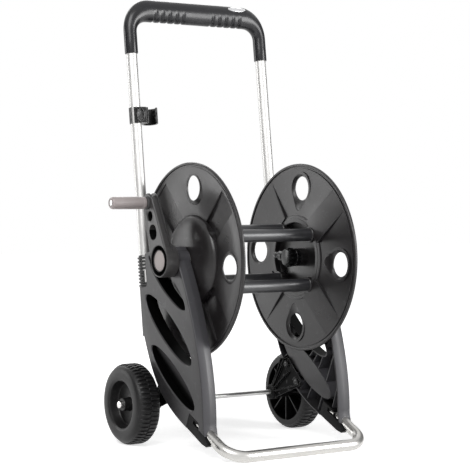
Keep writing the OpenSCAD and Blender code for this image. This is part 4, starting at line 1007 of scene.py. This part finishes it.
def grip_ring(x, w, nx, nw, k):
    """One section of the grip, grooved below: k is 0 on a leg's sleeve and 1 on the bar."""
    away = sleeve_radius + bar_extra_height * k
    depth = sleeve_radius + bar_extra_depth * k
    cut = grip_groove(x) * k
    ring_points = []
    for a in around(48):
        low = min(1.0, max(0.0, (0.1 - math.cos(a)) / 0.9))
        part = 1 - cut * low * low * (3 - 2 * low) / away
        ring_points.append((x + nx * away * part * math.cos(a), -depth * part * math.sin(a),
                            w + nw * away * part * math.cos(a)))
    return ring_points


bend_x, bend_w = 112.5, handle_top - handle_bend
left = []
for w, out in ((399, 12.2), (399.6, 13.1), (401, sleeve_radius)):
    left.append([(-leg_x - out * math.cos(a), -out * math.sin(a), w) for a in around(48)])
left.append(grip_ring(-leg_x, 425, -1, 0, 0))
for i in range(19):
    t = i / 18
    c, s = math.cos(math.pi / 2 * t), math.sin(math.pi / 2 * t)
    left.append(grip_ring(-bend_x - handle_bend * c, bend_w + handle_bend * s, -c, s,
                          t * t * (3 - 2 * t)))
bar = [grip_ring(-bend_x + 1.25 * i, handle_top, 0, 1, 1) for i in range(1, 180)]
right = [[(-x, y, w) for x, y, w in section] for section in reversed(left)]
grip = leg_place(loft("soft_handle_grip", left + bar + right))
soft_black = moulded("soft black grip", (0.008, 0.008, 0.010), 0.27, grain=450.0,
                     relief=0.000008, shine=0.42)
fit(grip, soft_black, "handle", ["handle_grip"])

# ---- handle end plugs and badge ----
# A moulded plug closes the lower end of each leg. A plain bright oval is let into the
# front of the grip.
plug = upright("end_plugs_of_both_legs", [
    (0, -92), (9.8, -92), (10.7, -91.5), (11, -90.6), (11, -90), (9.4, -90), (9.2, -78),
    (8.6, -77.5), (0, -77.5)], leg_x, 0, 48)
gathered(plug, mirrored(plug, "other plug"))
fit(leg_place(plug), black_cap, "handle", ["handle_end_plugs"])
badge_silver = metal("badge plate", (0.74, 0.74, 0.75), 0.22, (30.0, 300.0, 300.0), 0.000005)
badge_long, badge_wide = 21.5, 6.5
oval = []
for share, t in ((1, -0.9), (1, 0.55), (0.985, 0.9), (0.955, 0.9), (0.935, 0.5), (0.925, 0.4)):
    wide = badge_wide - badge_long * (1 - share)
    oval.append([(badge_long * share * math.cos(a), wide * math.sin(a), t) for a in around(64)])
badge = loft("oval_badge_plate", oval)
# It lies on the bar, whose section is this high and deep, 50 degrees round from the top.
bar_high, bar_deep, up, front = 23, 17, math.cos(math.radians(50)), math.sin(math.radians(50))
lies = math.degrees(math.atan2(bar_high * front, bar_deep * up))
moved(badge, (97, -bar_deep * front, handle_top + bar_high * up), lies)
fit(leg_place(badge), badge_silver, "handle", ["grip_badge"])

# ---- nozzle clip ----
# A springy C-shaped clip hugs the left leg with a narrow gap in front, and holds the spray
# nozzle in its open pocket. A small screw at the back keeps it from sliding.
# Painted highlights: the broad, strong pale edges stand for light caught by the clip's ridges and
# lips.
clip_black_with_painted_highlights = moulded("clip plastic with painted edge highlights", (0.004, 0.004, 0.004), 0.36, pale=(0.34, 0.34, 0.34),
                     wear_and_highlight=0.7, shine=0.2, edge_wear_and_highlight_width=0.0022)
clip_w, pocket_x = 272, -125.5


def pipe(name, ro, ri, x, low=255.5, high=288.5):
    """A short upright tube with slightly rounded rims."""
    return upright(name, [
        (ri, low), (ro - 0.7, low), (ro, low + 0.7), (ro, high - 0.7), (ro - 0.7, high),
        (ri, high)], x, 0, 72)


def upright_board(name, outline, low=255.8, high=288.2):
    """A board from low to high with that outline in X and V."""
    return loft(name, [[(x, v, w) for x, v in outline] for w in (low, high)])


clip = pipe("nozzle_clip", 12.9, 9, -leg_x)
carve(clip, pipe("pocket", 17, 12, pocket_x), "UNION")
carve(clip, upright_board("cheek", [
    (-159.5, -13.2), (-152, -15.4), (-140.5, -16.2), (-139.2, -4), (-139.2, 4),
    (-152, 9)]), "UNION")
carve(clip, upright_board("lug", [
    (-157.5, 17.6), (-151.5, 17.6), (-150, 10), (-159, 10)], 264, 280), "UNION")
carve(clip, pipe("leg hole", 11.02, 0, -leg_x, 250, 295))
carve(clip, pipe("nozzle hole", 13, 0, pocket_x, 250, 295))
mouth = []
for w in range(250, 294, 2):
    bulge = 3.4 * max(0.0, 1 - ((w - clip_w) / 13) ** 2)
    mouth.append([(pocket_x - 9.9, -20, w), (pocket_x + 9.9 - bulge, -20, w),
                  (pocket_x + 9.9 - bulge, 0, w), (pocket_x - 9.9, 0, w)])
carve(clip, loft("mouth", mouth))
gap = [(-leg_x + r * math.cos(math.radians(a)), r * math.sin(math.radians(a)))
       for r, a in ((9, 194), (24, 194), (26, 210), (24, 226), (9, 226))]
carve(clip, upright_board("gap", gap, 250, 295))
hollow = []
for v, k in ((-12.0, 0.85), (-20, 1.1)):
    hollow.append([(-153.5 + 7.5 * k * math.cos(a), v, clip_w + 14 * k * math.sin(a))
                   for a in around(40)])
carve(clip, loft("hollow", hollow))
fit(leg_place(clip), clip_black_with_painted_highlights, "handle", ["nozzle_clip"])
clip_screw = turned("clip_screw", [
    (0, 0), (2, 0), (2, 3.4), (3.9, 3.6), (4, 4.4), (3.4, 5.4), (1.7, 6.0), (0, 6.0)], 0, 0, 32)
moved(clip_screw, (-154.5, 14.2, clip_w), 90, "Z")
fit(leg_place(clip_screw), steel, "handle", ["clip_screw"])
